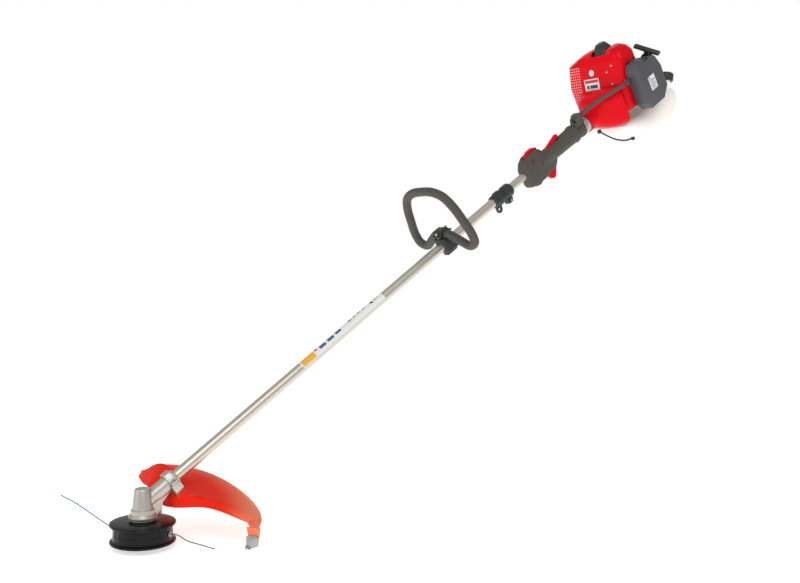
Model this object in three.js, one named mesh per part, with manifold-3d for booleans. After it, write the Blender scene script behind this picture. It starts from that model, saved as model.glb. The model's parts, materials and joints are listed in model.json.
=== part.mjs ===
// Hand-held petrol string trimmer: line head and bevel gear case at the low end,
// a straight tube with loop handle, harness clamp and throttle handle, and a small
// two-stroke engine with its tank at the high end.
// Millimetres, +Z up. The origin is the bottom of the bump knob, on the head's axis.

import * as THREE from 'three';
import { mergeVertices } from 'three/addons/utils/BufferGeometryUtils.js';
import Module from 'manifold-3d';

const wasm = await Module();
wasm.setup();

// ---- Driving dimensions ----------------------------------------------------------

// Clearances
const SEAT = 0.3;            // between pieces that rest on each other
const RUN = 0.4;             // radial, between a turning shaft and its bore
const SLIP = 0.8;            // round a piece that slides or swings

// Layout
const TUBE_RISE = 34;        // degrees between the tube and the head's plane
const AXES_CROSS = 84;       // height where the tube's axis meets the head's axis

// Line head
const HEAD_R = 65;           // both flanges
const DRUM_R = 58.5;         // wall between the flanges
const HEAD_WALL = 3.2;
const BASE_FLANGE_Z = 11;
const HEAD_SPLIT_Z = 29;
const HEAD_TOP_Z = 53;
const HUB_R = 14;
const HUB_FOOT_Z = 26;
const KNOB_R = 21;
const KNOB_TRAVEL = 6;
const SPOOL_R = 50;
const SPOOL_Z = 17;
const SPOOL_HEIGHT = 23;
const EYELET_Z = 29;
const EYELET_ANGLE = 128;    // degrees from +X to the first line exit
const EYELET_R = 4.4;
const LINE_R = 1.2;
const SPINDLE_R = 5;

// Gear case and bevel gears
const CASE_FOOT_Z = 58;
const CASE_TOP_Z = 118;
const GEAR_TEETH = 19;
const PINION_TEETH = 14;
const GEAR_CONE = 14.3;      // pitch cone distance at mid face
const GEAR_FACE = 4.6;       // face width
const ADDENDUM = 1;
const DEDENDUM = 1.6;
const TOOTH_SHARE = 0.34;    // tooth thickness as a share of the pitch
const SOCKET_R = 16.5;
const SOCKET_END = 84;
const BEARING_R = 17.4;

// Tube and drive shaft
const LOWER_TUBE_R = 12;
const UPPER_TUBE_R = 11;
const TUBE_WALL = 1.5;
const TUBE_START = 46;
const TUBE_JOINT = 1140;
const SPIGOT = 45;
const TUBE_END = 1549;
const DRIVE_R = 3.5;
const BUSH_AT = [420, 1000];
const BUSH_LENGTH = 24;

// Guard
const GUARD_R = 235;
const GUARD_WALL = 3;

// Loop handle
const LOOP_AT = 948;
const LOOP_R = 11;
const LOOP_RISE = 25.5;      // centre of the grip tube over the shaft's axis at the clamp

// Harness clamp
const HARNESS_AT = 1172;
const HARNESS_R = 19;

// Throttle handle
const HANDLE_START = 1262;
const GRIP_START = 1335;
const GRIP_END = 1522;
const GRIP_R = 21;
const BULB_HALF_WIDTH = 17;

// Engine
const DAMPER_LENGTH = 22;
const HOUSING_START = GRIP_END + DAMPER_LENGTH + 2;
const HOUSING_R = 28;
const HOUSING_END = 1636;
const HOUSING_WALL = 3;
const CLUTCH_R = 23;
const SHOE_R = 15;              // clutch shoes at rest, clear of the drum
const CRANK_R = 6;
const FLYWHEEL_R = 46;
const FLYWHEEL_AT = 1607;
const CASE_START = 1668;
const CASE_LENGTH = 62;
const CASE_R = 36;
const CYLINDER_AT = 1714;
const PLUG_AT = CYLINDER_AT + 14;
const DECK_Z = 40;             // crankcase face that the cylinder stands on
const FIN_COUNT = 7;
const FIN_PITCH = 9.6;
const FIN_R = 32;
const COVER_WALL = 2.6;
const CABLE_R = 5.8;
const COVER_REAR = 1752;
const STARTER_R = 60;
const STARTER_DEPTH = 36;
const FILTER_X0 = 1668;
const FILTER_X1 = 1774;
const FILTER_FACE = -129;
const FILTER_BACK = -86;
const TANK_START = 1634;
const TANK_END = 1880;
const TANK_HALF = 76;
const TANK_TOP = -62;
const TANK_DEPTH = 80;
const CAP_R = 20;
const FOOT_WIRE_R = 2.6;
const HOUSING_HALF = 82;       // half width of the fan housing where it meets the engine

// ---- Helpers ---------------------------------------------------------------------

const RAD = Math.PI / 180;
const V = (x, y, z) => new THREE.Vector3(x, y, z);

// Geometry with shared vertices merged and only positions left.
function closed(geometry) {
  const g = geometry.index ? geometry.toNonIndexed() : geometry;
  for (const name of Object.keys(g.attributes)) {
    if (name !== 'position') g.deleteAttribute(name);
  }
  return mergeVertices(g, 1e-4);
}

function toSolid(geometry) {
  const g = closed(geometry);
  return new wasm.Manifold(new wasm.Mesh({
    numProp: 3,
    vertProperties: new Float32Array(g.attributes.position.array),
    triVerts: new Uint32Array(g.index.array),
  }));
}

function toGeometry(solid) {
  const mesh = solid.getMesh();
  const g = new THREE.BufferGeometry();
  g.setAttribute('position', new THREE.BufferAttribute(new Float32Array(mesh.vertProperties), 3));
  g.setIndex(new THREE.BufferAttribute(new Uint32Array(mesh.triVerts), 1));
  return g;
}

function join(...geometries) {
  return toGeometry(geometries.map(toSolid).reduce((a, b) => a.add(b)));
}

function cut(body, ...tools) {
  return toGeometry(tools.map(toSolid).reduce((a, b) => a.subtract(b), toSolid(body)));
}

function keep(body, region) {
  return toGeometry(toSolid(body).intersect(toSolid(region)));
}

// Revolve of (radius, height) points about +Z.
function turnedZ(points, segments = 20) {
  const profile = points.map(([r, z]) => new THREE.Vector2(r, z));
  return new THREE.LatheGeometry(profile, segments).rotateX(Math.PI / 2);
}

// Revolve of (distance, radius) points about +X.
function turnedX(points, segments = 20) {
  const profile = points.map(([x, r]) => new THREE.Vector2(r, x));
  return new THREE.LatheGeometry(profile, segments).rotateZ(-Math.PI / 2);
}

// Revolve about +X of a ring section whose points return to the first.
function ringX(x0, x1, inner, outer, segments = 20) {
  return turnedX([[x0, inner], [x0, outer], [x1, outer], [x1, inner], [x0, inner]], segments);
}

function rodX(x0, x1, radius, segments = 16) {
  return turnedX([[x0, 0], [x0, radius], [x1, radius], [x1, 0]], segments);
}

function rodZ(z0, z1, radius, segments = 16) {
  return turnedZ([[0, z0], [radius, z0], [radius, z1], [0, z1]], segments);
}

function rodY(y0, y1, radius, segments = 16) {
  return rodZ(y0, y1, radius, segments).rotateX(-Math.PI / 2);
}

function block(x0, x1, y0, y1, z0, z1) {
  const g = new THREE.BoxGeometry(x1 - x0, y1 - y0, z1 - z0);
  return g.translate((x0 + x1) / 2, (y0 + y1) / 2, (z0 + z1) / 2);
}

// Outline in (x, z) pushed out along y, with rounded side edges of the given depth.
function plateXZ(points, y0, y1, round = 0, segments = 2) {
  const shape = new THREE.Shape(points.map(([x, z]) => new THREE.Vector2(x, z)));
  const g = new THREE.ExtrudeGeometry(shape, {
    depth: y1 - y0 - 2 * round,
    bevelEnabled: round > 0,
    bevelThickness: round,
    bevelSize: round,
    bevelOffset: -round,
    bevelSegments: segments,
    curveSegments: 6,
  });
  return g.rotateX(Math.PI / 2).translate(0, y1 - round, 0);
}

// Outline in (y, z) pushed out along x.
function plateYZ(points, x0, x1, round = 0, segments = 2) {
  const g = plateXZ(points, 0, x1 - x0, round, segments);
  return g.rotateZ(-Math.PI / 2).translate(x0, 0, 0);
}

// Round section swept along an open curve.
function rodAlong(points, radius, sides, steps) {
  const section = new THREE.Shape(Array.from({ length: sides }, (_, i) => {
    const a = 2 * Math.PI * i / sides;
    return new THREE.Vector2(radius * Math.cos(a), radius * Math.sin(a));
  }));
  return new THREE.ExtrudeGeometry(section, {
    steps,
    extrudePath: new THREE.CatmullRomCurve3(points, false, 'centripetal'),
    bevelEnabled: false,
  });
}

// Skin over rings of equal length, closed by a fan at both ends. The first fan's centre can be set.
function loft(rings, firstCentre = null) {
  const n = rings[0].length;
  const position = [];
  const index = [];
  for (const ring of rings) for (const p of ring) position.push(p.x, p.y, p.z);
  for (let k = 0; k + 1 < rings.length; k++) {
    for (let i = 0; i < n; i++) {
      const a = k * n + i;
      const b = k * n + (i + 1) % n;
      index.push(a, b, a + n, b, b + n, a + n);
    }
  }
  const ends = [[0, 1], [rings.length - 1, 0]];
  for (const [k, first] of ends) {
    const mean = rings[k].reduce((s, p) => s.add(p), V(0, 0, 0)).divideScalar(n);
    const centre = first && firstCentre ? firstCentre : mean;
    const c = position.length / 3;
    position.push(centre.x, centre.y, centre.z);
    for (let i = 0; i < n; i++) {
      const a = k * n + i;
      const b = k * n + (i + 1) % n;
      if (first) index.push(c, b, a);
      else index.push(c, a, b);
    }
  }
  const g = new THREE.BufferGeometry();
  g.setAttribute('position', new THREE.Float32BufferAttribute(position, 3));
  g.setIndex(index);
  return g;
}

// Rounded rectangle as a list of [u, v], anticlockwise, four corners of (steps + 1) points.
function roundedRect(u0, u1, v0, v1, radius, steps = 4) {
  const r = Math.min(radius, (u1 - u0) / 2, (v1 - v0) / 2);
  const corners = [[u1 - r, v1 - r, 0], [u0 + r, v1 - r, 90], [u0 + r, v0 + r, 180], [u1 - r, v0 + r, 270]];
  const points = [];
  for (const [u, v, start] of corners) {
    for (let i = 0; i <= steps; i++) {
      const a = (start + 90 * i / steps) * RAD;
      points.push([u + r * Math.cos(a), v + r * Math.sin(a)]);
    }
  }
  return points;
}

// Rings stacked along x, each a rounded rectangle in (y, z).
const ringYZ = (x, y0, y1, z0, z1, r, steps) => roundedRect(y0, y1, z0, z1, r, steps).map(([y, z]) =>
  V(x, y, z));

// Rings stacked along z, each a rounded rectangle in (x, y).
const ringXY = (z, x0, x1, y0, y1, r, steps) => roundedRect(x0, x1, y0, y1, r, steps).map(([x, y]) =>
  V(x, y, z));

// ---- Materials -------------------------------------------------------------------

const paint = (color, roughness, metalness) =>
  new THREE.MeshStandardMaterial({ color, roughness, metalness });
const material = {
  black: paint(0x17181a, 0.3, 0),
  darkGrip: paint(0x4b4843, 0.7, 0),
  clamp: paint(0x1e2320, 0.6, 0),
  slate: paint(0x4a4d54, 0.5, 0),
  olive: paint(0x2f2d22, 0.5, 0),
  red: paint(0xd00d18, 0.22, 0),
  orange: paint(0xf23a1c, 0.35, 0),
  green: paint(0x2f7f55, 0.5, 0),
  tank: paint(0xf2ece6, 0.4, 0),
  alloy: paint(0xcfc7ba, 0.35, 1),
  cast: paint(0xb9b4aa, 0.5, 1),
  steel: paint(0x8f8f90, 0.35, 1),
  spring: paint(0x6a6a6c, 0.4, 1),
  castDark: paint(0x3a3a3a, 0.6, 0.6),
  bush: paint(0x6b4a2a, 0.6, 0),
};

const group = new THREE.Group();
const shaft = new THREE.Group();
shaft.position.set(0, 0, AXES_CROSS);
shaft.rotation.y = -TUBE_RISE * RAD;
group.add(shaft);

function add(parent, name, geometry, look) {
  const mesh = new THREE.Mesh(closed(geometry), look);
  mesh.name = name;
  parent.add(mesh);
  return mesh;
}

// ---- Line head -------------------------------------------------------------------

const drumInner = DRUM_R - HEAD_WALL;
const spoolTop = SPOOL_Z + SPOOL_HEIGHT;
const coverUnder = HEAD_TOP_Z - 5.5;
const exitAngles = [EYELET_ANGLE, EYELET_ANGLE + 180];

// Hole through the drum's wall for one line eyelet.
function eyeletHole(angle) {
  return rodX(DRUM_R - 2 * HEAD_WALL, DRUM_R + 2 * HEAD_WALL, EYELET_R + SEAT, 12)
    .translate(0, 0, EYELET_Z).rotateZ(angle * RAD);
}

// Shallow flutes round the drum's wall.
function fluted(body, z0, z1) {
  const flutes = 8;
  const depth = 1.2;
  const tools = [];
  for (let i = 0; i < flutes; i++) {
    const angle = EYELET_ANGLE + 15 + i * 360 / flutes;
    tools.push(rodZ(z0, z1, 5, 6).translate(DRUM_R + 5 - depth, 0, 0).rotateZ(angle * RAD));
  }
  return cut(body, ...tools);
}

function headBase() {
  const mouth = KNOB_R + SLIP;
  const body = turnedZ([
    [mouth, 3], [40, 4.5], [60, BASE_FLANGE_Z - 2], [HEAD_R, BASE_FLANGE_Z], [HEAD_R, BASE_FLANGE_Z + 3.5],
    [60, BASE_FLANGE_Z + 5], [DRUM_R, BASE_FLANGE_Z + 7], [DRUM_R, HEAD_SPLIT_Z], [drumInner, HEAD_SPLIT_Z],
    [drumInner, BASE_FLANGE_Z + 4], [40, 8], [mouth, 6.5], [mouth, 3],
  ], 26);
  return cut(fluted(body, BASE_FLANGE_Z + 7, HEAD_SPLIT_Z + 1), ...exitAngles.map(eyeletHole));
}

function headCover() {
  const bore = SPINDLE_R + SEAT;
  const seam = HEAD_SPLIT_Z + SEAT;
  const body = turnedZ([
    [bore, HEAD_TOP_Z], [26, HEAD_TOP_Z], [30, HEAD_TOP_Z - 1], [60, HEAD_TOP_Z - 2],
    [HEAD_R, HEAD_TOP_Z - 4.5],
    [HEAD_R, HEAD_TOP_Z - 8], [60, HEAD_TOP_Z - 9.5], [DRUM_R, HEAD_TOP_Z - 11.5], [DRUM_R, seam],
    [drumInner, seam], [drumInner, coverUnder], [HUB_R, coverUnder], [HUB_R, HUB_FOOT_Z],
    [bore, HUB_FOOT_Z],
    [bore, HEAD_TOP_Z],
  ].reverse(), 28);
  return cut(fluted(body, seam - 1, HEAD_TOP_Z - 11.5), ...exitAngles.map(eyeletHole));
}

function lineSpool() {
  const bore = HUB_R + SLIP;
  const core = 25;
  const well = 22.5;
  const flange = 2;
  return turnedZ([
    [bore, SPOOL_Z], [SPOOL_R, SPOOL_Z], [SPOOL_R, SPOOL_Z + flange], [core, SPOOL_Z + flange],
    [core, spoolTop - flange], [SPOOL_R, spoolTop - flange], [SPOOL_R, spoolTop], [well, spoolTop],
    [well, SPOOL_Z + 5], [bore, SPOOL_Z + 5], [bore, SPOOL_Z],
  ], 20);
}

function bumpKnob() {
  return turnedZ([[0, 0], [KNOB_R - 6, 0], [KNOB_R - 1, 1.6], [KNOB_R, 4], [KNOB_R, SPOOL_Z - SEAT],
    [0, SPOOL_Z - SEAT]], 28);
}

function bumpSpring() {
  const wire = 0.8;
  const radius = (HUB_R + 22.5) / 2;
  const low = SPOOL_Z + 5 + SEAT + wire;
  const high = coverUnder - SEAT - wire;
  const turns = 4;
  const perTurn = 10;
  const points = [];
  for (let i = 0; i <= turns * perTurn; i++) {
    const a = 2 * Math.PI * i / perTurn;
    points.push(V(radius * Math.cos(a), radius * Math.sin(a), low + (high - low) * i / (turns * perTurn)));
  }
  return rodAlong(points, wire, 5, turns * perTurn);
}

function lineEyelet(angle) {
  const bore = LINE_R + 1;
  const inner = drumInner - 1;
  const lip = DRUM_R + 2;
  const g = turnedX([[inner, bore], [inner, EYELET_R], [DRUM_R + SEAT, EYELET_R],
    [DRUM_R + SEAT, EYELET_R + 1.4],
    [lip, EYELET_R + 1], [lip, bore], [inner, bore]], 12);
  return g.translate(0, 0, EYELET_Z).rotateZ(angle * RAD);
}

// Each line leaves its eyelet, droops or kicks up, and ends in a bare cut end.
const linePaths = {
  trimmer_line_left: [V(-33.2, 42.5, 29), V(-41, 52.4, 30.5), V(-50, 70, 38), V(-66, 102, 52),
    V(-84, 143, 68),
    V(-103, 182, 80)],
  trimmer_line_right: [V(33.2, -42.5, 29), V(41, -52.4, 30.5), V(42, -78, 33), V(40, -122, 34),
    V(49, -163, 35),
    V(57, -201, 36)],
};

// ---- Bevel gear pair -------------------------------------------------------------

// Cone angles from the tooth counts and the angle between the two shafts.
const SHAFT_ANGLE = 90 + TUBE_RISE;
const gearAngle = Math.atan2(Math.sin(SHAFT_ANGLE * RAD),
  PINION_TEETH / GEAR_TEETH + Math.cos(SHAFT_ANGLE * RAD));
const pinionAngle = SHAFT_ANGLE * RAD - gearAngle;

// Toothed cone with its apex at the origin, opening along +X, with one tooth's or gap's middle at angle 0.
function toothedCone(teeth, coneAngle, toothAtZero) {
  const tip = coneAngle + ADDENDUM / GEAR_CONE;
  const root = coneAngle - DEDENDUM / GEAR_CONE;
  const pitch = 2 * Math.PI / teeth;
  const half = pitch * TOOTH_SHARE / 2;
  const ring = (distance) => {
    const points = [];
    for (let i = 0; i < teeth; i++) {
      const middle = (i + (toothAtZero ? 0 : 0.5)) * pitch;
      for (const [offset, angle] of [[-half * 1.2, root], [-half * 0.6, tip], [half * 0.6, tip],
        [half * 1.2, root]]) {
        const r = distance * Math.sin(angle);
        const a = middle + offset;
        points.push(V(distance * Math.cos(angle), r * Math.cos(a), r * Math.sin(a)));
      }
    }
    return points;
  };
  const small = GEAR_CONE - GEAR_FACE / 2;
  return loft([ring(small), ring(GEAR_CONE + GEAR_FACE / 2)], V(small * Math.cos(root) + 1, 0, 0));
}

// Driven gear: its cone opens downwards, and its hub stands on the spindle bearing.
function drivenGear() {
  const pitchZ = (GEAR_CONE + GEAR_FACE / 2) * Math.cos(gearAngle);
  const hubR = 13;
  const teeth = toothedCone(GEAR_TEETH, gearAngle, false).rotateX(Math.PI / 2).rotateY(Math.PI / 2);
  const hub = rodZ(-pitchZ - 5.5, -pitchZ - 1.5, hubR, 14);
  const bore = rodZ(-40, 40, SPINDLE_R + SEAT, 12);
  return cut(join(teeth, hub), bore).translate(0, 0, AXES_CROSS);
}

// Pinion on the tube's axis, with a blind bore that takes the drive shaft's end.
const PINION_HUB_R = 7;
const PINION_END = 38;
const PINION_BORE_START = 22;
function bevelPinion() {
  const pitchX = (GEAR_CONE + GEAR_FACE / 2) * Math.cos(pinionAngle);
  const teeth = toothedCone(PINION_TEETH, pinionAngle, true).rotateX(-Math.PI / 2);
  const hub = rodX(pitchX - 1, PINION_END, PINION_HUB_R, 20);
  const bore = rodX(PINION_BORE_START, PINION_END + 10, DRIVE_R + SEAT, 16);
  return cut(join(teeth, hub), bore);
}

function outputSpindle() {
  const gearFoot = AXES_CROSS - (GEAR_CONE + GEAR_FACE / 2) * Math.cos(gearAngle) - 5.5;
  const collar = 8;
  return turnedZ([[0, HUB_FOOT_Z], [SPINDLE_R, HUB_FOOT_Z], [SPINDLE_R, CASE_FOOT_Z + 3.5],
    [collar, CASE_FOOT_Z + 3.5],
    [collar, CASE_FOOT_Z + 5 - SEAT], [SPINDLE_R, CASE_FOOT_Z + 5 - SEAT], [SPINDLE_R, gearFoot + 6],
    [0, gearFoot + 6]], 20);
}

function spindleBearing() {
  const low = CASE_FOOT_Z + 5;
  const high = AXES_CROSS - (GEAR_CONE + GEAR_FACE / 2) * Math.cos(gearAngle) - 5.5 - SEAT;
  const g = [[SPINDLE_R + SEAT, low], [BEARING_R, low], [BEARING_R, high], [SPINDLE_R + SEAT, high],
    [SPINDLE_R + SEAT, low]];
  return turnedZ(g, 24);
}

// Silver flange that the head is clamped against.
function bladeFlange() {
  const low = HEAD_TOP_Z + SEAT;
  const high = CASE_FOOT_Z - 1;
  return turnedZ([[SPINDLE_R + SEAT, low], [22, low], [25, low + 1.2], [25, high - 1], [18, high],
    [SPINDLE_R + SEAT, high],
    [SPINDLE_R + SEAT, low]], 22);
}

// ---- Gear case -------------------------------------------------------------------

// From the shaft's frame, for pieces that mix both directions.
const fromShaft = (g) => g.rotateY(-TUBE_RISE * RAD).translate(0, 0, AXES_CROSS);

function gearCase() {
  const cone = turnedZ([[0, CASE_FOOT_Z], [28.5, CASE_FOOT_Z], [29, CASE_FOOT_Z + 4], [26, CASE_FOOT_Z + 7],
    [24, CASE_FOOT_Z + 9], [23.6, CASE_FOOT_Z + 17], [21, CASE_FOOT_Z + 19], [20.4, CASE_FOOT_Z + 24],
    [16.4, CASE_TOP_Z - 4], [15, CASE_TOP_Z - 1.5], [11, CASE_TOP_Z - 1], [10, CASE_TOP_Z],
    [0, CASE_TOP_Z]], 20);
  const neck = fromShaft(turnedX([[0, 0], [0, 14], [24, 14.5], [34, SOCKET_R], [SOCKET_END - 16, SOCKET_R],
    [SOCKET_END - 15, SOCKET_R + 1.6], [SOCKET_END - 3, SOCKET_R + 1.6], [SOCKET_END, SOCKET_R],
    [SOCKET_END, 0]], 20));
  const column = plateXZ([[4, CASE_FOOT_Z + 1], [33, CASE_FOOT_Z + 1], [38, CASE_FOOT_Z + 6], [39, 84],
    [56, 103],
    [50, 112], [20, 96], [4, 90]], -9.5, 9.5, 2.5, 2);
  const gearBore = turnedZ([[0, CASE_FOOT_Z - 5], [BEARING_R + SEAT, CASE_FOOT_Z - 5],
    [BEARING_R + SEAT, 80],
    [17.4, 88], [14.2, 101], [9, 106], [0, 106]], 20);
  const pinionBore = fromShaft(rodX(6, SOCKET_END + 5, PINION_HUB_R + 1.5, 20));
  const tubeBore = fromShaft(rodX(TUBE_START - SEAT, SOCKET_END + 5, LOWER_TUBE_R + SEAT, 20));
  return cut(join(cone, neck, column), gearBore, pinionBore, tubeBore);
}

// ---- Guard -----------------------------------------------------------------------

// Sheet between guide curves, from the front edge to the rim, thickened inwards.
function guardSheet() {
  const rim = [68, 52, 32, 8, -12, -30, -44].map((a, i) => {
    const z = [90, 99, 96, 73, 55, 47, 41][i];
    return V(GUARD_R * Math.cos(a * RAD), GUARD_R * Math.sin(a * RAD), z);
  });
  const shoulder = [69, 52, 32, 8, -12, -30, -43].map((a, i) => {
    const r = [212, 205, 200, 200, 204, 210, 216][i];
    const z = [104, 118, 112, 96, 80, 66, 54][i];
    return V(r * Math.cos(a * RAD), r * Math.sin(a * RAD), z);
  });
  const bowl = [V(72, 172, 106), V(108, 138, 121), V(128, 78, 116), V(134, 18, 99), V(150, -34, 85),
    V(168, -92, 74),
    V(172, -140, 60)];
  const ridge = [V(62, 153, 112), V(76, 98, 138), V(92, 58, 130), V(80, 18, 101), V(90, -14, 95),
    V(134, -62, 80),
    V(168, -142, 58)];
  const wallTop = [V(57, 152, 110), V(64, 98, 130), V(56, 52, 122), V(58, 24, 105), V(66, -10, 103),
    V(122, -44, 79),
    V(167, -143, 57)];
  const front = [V(52, 151, 103), V(38, 93, 103), V(32, 42, 103), V(48, 26, 73), V(60, -12, 71),
    V(118, -44, 68),
    V(164, -144, 51)];
  const spans = 20;
  const curves = [front, wallTop, ridge, bowl, shoulder, rim].map((points) =>
    new THREE.CatmullRomCurve3(points));
  const rows = curves.map((curve) => Array.from({ length: spans + 1 }, (_, i) =>
    curve.getPoint(i / spans)));
  const across = rows.length - 1;
  const sheet = Array.from({ length: spans + 1 }, (_, i) => rows.map((row) => row[i]));
  // Unit normal at each node, from its neighbours along and across the sheet.
  const normalAt = (i, j) => {
    const along = sheet[Math.min(i + 1, spans)][j].clone().sub(sheet[Math.max(i - 1, 0)][j]);
    const over = sheet[i][Math.min(j + 1, across)].clone().sub(sheet[i][Math.max(j - 1, 0)]);
    return over.cross(along).normalize();
  };
  const rings = sheet.map((line, i) => {
    const upper = line.map((p) => p.clone());
    const lower = line.map((p, j) => p.clone().addScaledVector(normalAt(i, j), GUARD_WALL));
    return [...upper, ...lower.reverse()];
  });
  return rings;
}

// Closed skin over the sheet's rings, whose ends are strips and not fans.
function stripLoft(rings) {
  const n = rings[0].length;
  const position = rings.flat().flatMap((p) => [p.x, p.y, p.z]);
  const index = [];
  for (let k = 0; k + 1 < rings.length; k++) {
    for (let i = 0; i < n; i++) {
      const a = k * n + i;
      const b = k * n + (i + 1) % n;
      index.push(a, a + n, b, b, a + n, b + n);
    }
  }
  const last = (rings.length - 1) * n;
  for (let i = 0; i + 1 < n / 2; i++) {
    const a = i;
    const b = i + 1;
    const c = n - 2 - i;
    const d = n - 1 - i;
    index.push(a, b, c, a, c, d);
    index.push(last + a, last + c, last + b, last + a, last + d, last + c);
  }
  const g = new THREE.BufferGeometry();
  g.setAttribute('position', new THREE.Float32BufferAttribute(position, 3));
  g.setIndex(index);
  return g;
}

// Seat under the tube for the bracket, in the shaft's frame.
const SADDLE_START = 60;
const SADDLE_END = 80;
const SADDLE_HALF = 19;
const SADDLE_DROP = 27;
const SADDLE_EAR = 28;
const CLAMPED_R = SOCKET_R + 1.6 + SEAT;
const GUARD_BOLT_R = 2.2;
const GUARD_BOLT_Y = 24.3;
const GUARD_BOLT_LOW = -14;
const STRAP_EAR_TOP = 5;

function guardShell() {
  const sheet = stripLoft(guardSheet());
  const pad = fromShaft(block(SADDLE_START - 3, SADDLE_END + 3, -SADDLE_HALF, SADDLE_HALF, -SADDLE_DROP - 8,
    -SADDLE_DROP - SEAT));
  const clearance = fromShaft(join(rodX(0, 130, CLAMPED_R + 1, 20),
    block(SADDLE_START - SEAT, SADDLE_END + SEAT,
    -SADDLE_EAR - 1, SADDLE_EAR + 1, -SADDLE_DROP - SEAT, 0)));
  const column = block(0, 42, -13, 13, 40, 116);
  return join(cut(join(sheet, pad), clearance, column), cutterLug());
}

function guardBracket() {
  const saddle = plateYZ([[-SADDLE_HALF, -SADDLE_DROP], [SADDLE_HALF, -SADDLE_DROP], [SADDLE_EAR, -17],
    [SADDLE_EAR, -SEAT], [-SADDLE_EAR, -SEAT], [-SADDLE_EAR, -17]], SADDLE_START, SADDLE_END);
  return cut(saddle, rodX(0, 130, CLAMPED_R, 24), ...guardBoltHoles());
}

function guardStrap() {
  const top = CLAMPED_R + 2.6;
  const strap = plateYZ([[-SADDLE_EAR, SEAT], [SADDLE_EAR, SEAT], [SADDLE_EAR, STRAP_EAR_TOP],
    [20, STRAP_EAR_TOP],
    [17, 12], [8.6, top], [-8.6, top], [-17, 12], [-20, STRAP_EAR_TOP], [-SADDLE_EAR, STRAP_EAR_TOP]],
  SADDLE_START + 2, SADDLE_END - 2);
  return cut(strap, rodX(0, 130, CLAMPED_R, 24), ...guardBoltHoles());
}

const guardBoltX = (SADDLE_START + SADDLE_END) / 2;
const guardBoltHoles = () => [-1, 1].map((side) =>
  rodZ(GUARD_BOLT_LOW - SEAT, STRAP_EAR_TOP + 1, GUARD_BOLT_R + SEAT, 10)
  .translate(guardBoltX, side * GUARD_BOLT_Y, 0));

function guardBolt(side) {
  const seat = STRAP_EAR_TOP + SEAT;
  return turnedZ([[0, GUARD_BOLT_LOW], [GUARD_BOLT_R, GUARD_BOLT_LOW], [GUARD_BOLT_R, seat], [4, seat],
    [4, seat + 3.4],
    [0, seat + 3.4]], 6).translate(guardBoltX, side * GUARD_BOLT_Y, 0);
}

// Knife that trims the line, screwed to the low end of the guard.
const KNIFE_AT = -45;
const KNIFE_RADIUS = 226;
const onKnife = (g) => g.rotateZ((KNIFE_AT - 6) * RAD)
  .translate(KNIFE_RADIUS * Math.cos(KNIFE_AT * RAD), KNIFE_RADIUS * Math.sin(KNIFE_AT * RAD), 0);

// Lug on the guard's low end that carries the knife.
function cutterLug() {
  return onKnife(plateXZ([[-9, 19], [-5, 15], [7, 15], [11, 19], [14, 50], [-14, 50]], 1 + SEAT, 6, 1, 1));
}

function lineCutter() {
  const plate = plateXZ([[-14, 6], [-14, 30], [4, 34], [12, 28], [12, 12], [-4, 6]], -1, 1);
  const edge = plateXZ([[-14, 6], [-4, 6], [-8, 9], [-14, 12]], -7, 1);
  return onKnife(join(plate, edge));
}

// ---- Tube and drive shaft --------------------------------------------------------

const lowerTube = () => ringX(TUBE_START, TUBE_JOINT, LOWER_TUBE_R - TUBE_WALL, LOWER_TUBE_R, 24);

// The upper tube is necked down at its low end to plug into the lower one.
function upperTube() {
  const spigotR = LOWER_TUBE_R - TUBE_WALL - SEAT;
  const bore = UPPER_TUBE_R - TUBE_WALL;
  return turnedX([[TUBE_JOINT - SPIGOT, bore], [TUBE_JOINT - SPIGOT, spigotR], [TUBE_JOINT + SEAT, spigotR],
    [TUBE_JOINT + SEAT, UPPER_TUBE_R], [TUBE_END, UPPER_TUBE_R], [TUBE_END, bore],
    [TUBE_JOINT - SPIGOT, bore]], 24);
}

const DRUM_START = TUBE_END + 3;
const driveShaft = () => rodX(PINION_BORE_START + SEAT, DRUM_START + 8, DRIVE_R, 14);
const shaftBush = (at) => ringX(at, at + BUSH_LENGTH, DRIVE_R + RUN, LOWER_TUBE_R - TUBE_WALL - SEAT, 16);

// ---- Loop handle -----------------------------------------------------------------

// Half of the loop's centre line from its foot to its crown, as (across, above the shaft).
const loopHalf = [[22, LOOP_RISE - 1], [50, 9], [82, -9], [103, 1], [107, 27], [99, 62], [88, 98],
  [69, 128], [38, 143]];
function loopHandle() {
  const right = loopHalf.map(([y, z]) => V(0, y, z));
  const left = loopHalf.map(([y, z]) => V(0, -y, z)).reverse();
  const curve = new THREE.CatmullRomCurve3([V(0, 0, LOOP_RISE), ...right, V(0, 0, 146), ...left],
    true, 'centripetal');
  return new THREE.TubeGeometry(curve, 32, LOOP_R, 8, true).translate(LOOP_AT, 0, 0);
}

function loopClampBase() {
  const body = plateXZ([[-21, -15], [-16, -19], [16, -19], [21, -15], [21, 20], [14, 22.5],
    [-14, 22.5], [-21, 20]],
    -19, 19, 3, 1).translate(LOOP_AT, 0, 0);
  const ears = block(LOOP_AT - 17, LOOP_AT + 17, -8, 8, -26, -16);
  const slit = block(LOOP_AT - 30, LOOP_AT + 30, -1, 1, -30, 0);
  return cut(join(body, ears), slit, rodX(LOOP_AT - 40, LOOP_AT + 40, LOWER_TUBE_R + SEAT, 24),
    loopChannel());
}

// Room round the loop's foot for the two clamp halves.
function loopChannel() {
  const path = [...loopHalf.slice(0, 3).map(([y, z]) => V(LOOP_AT, y, z)).reverse(),
    V(LOOP_AT, 0, LOOP_RISE),
    ...loopHalf.slice(0, 3).map(([y, z]) => V(LOOP_AT, -y, z))];
  return rodAlong(path, LOOP_R + 0.9, 16, 24);
}

function loopClampCap() {
  const cap = plateXZ([[-21, 26], [-21, 29], [-15, 33], [-9, 40], [9, 40], [15, 33], [21, 29],
    [21, 26]], -15, 15)
    .translate(LOOP_AT, 0, 0);
  return cut(cap, loopChannel());
}

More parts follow.
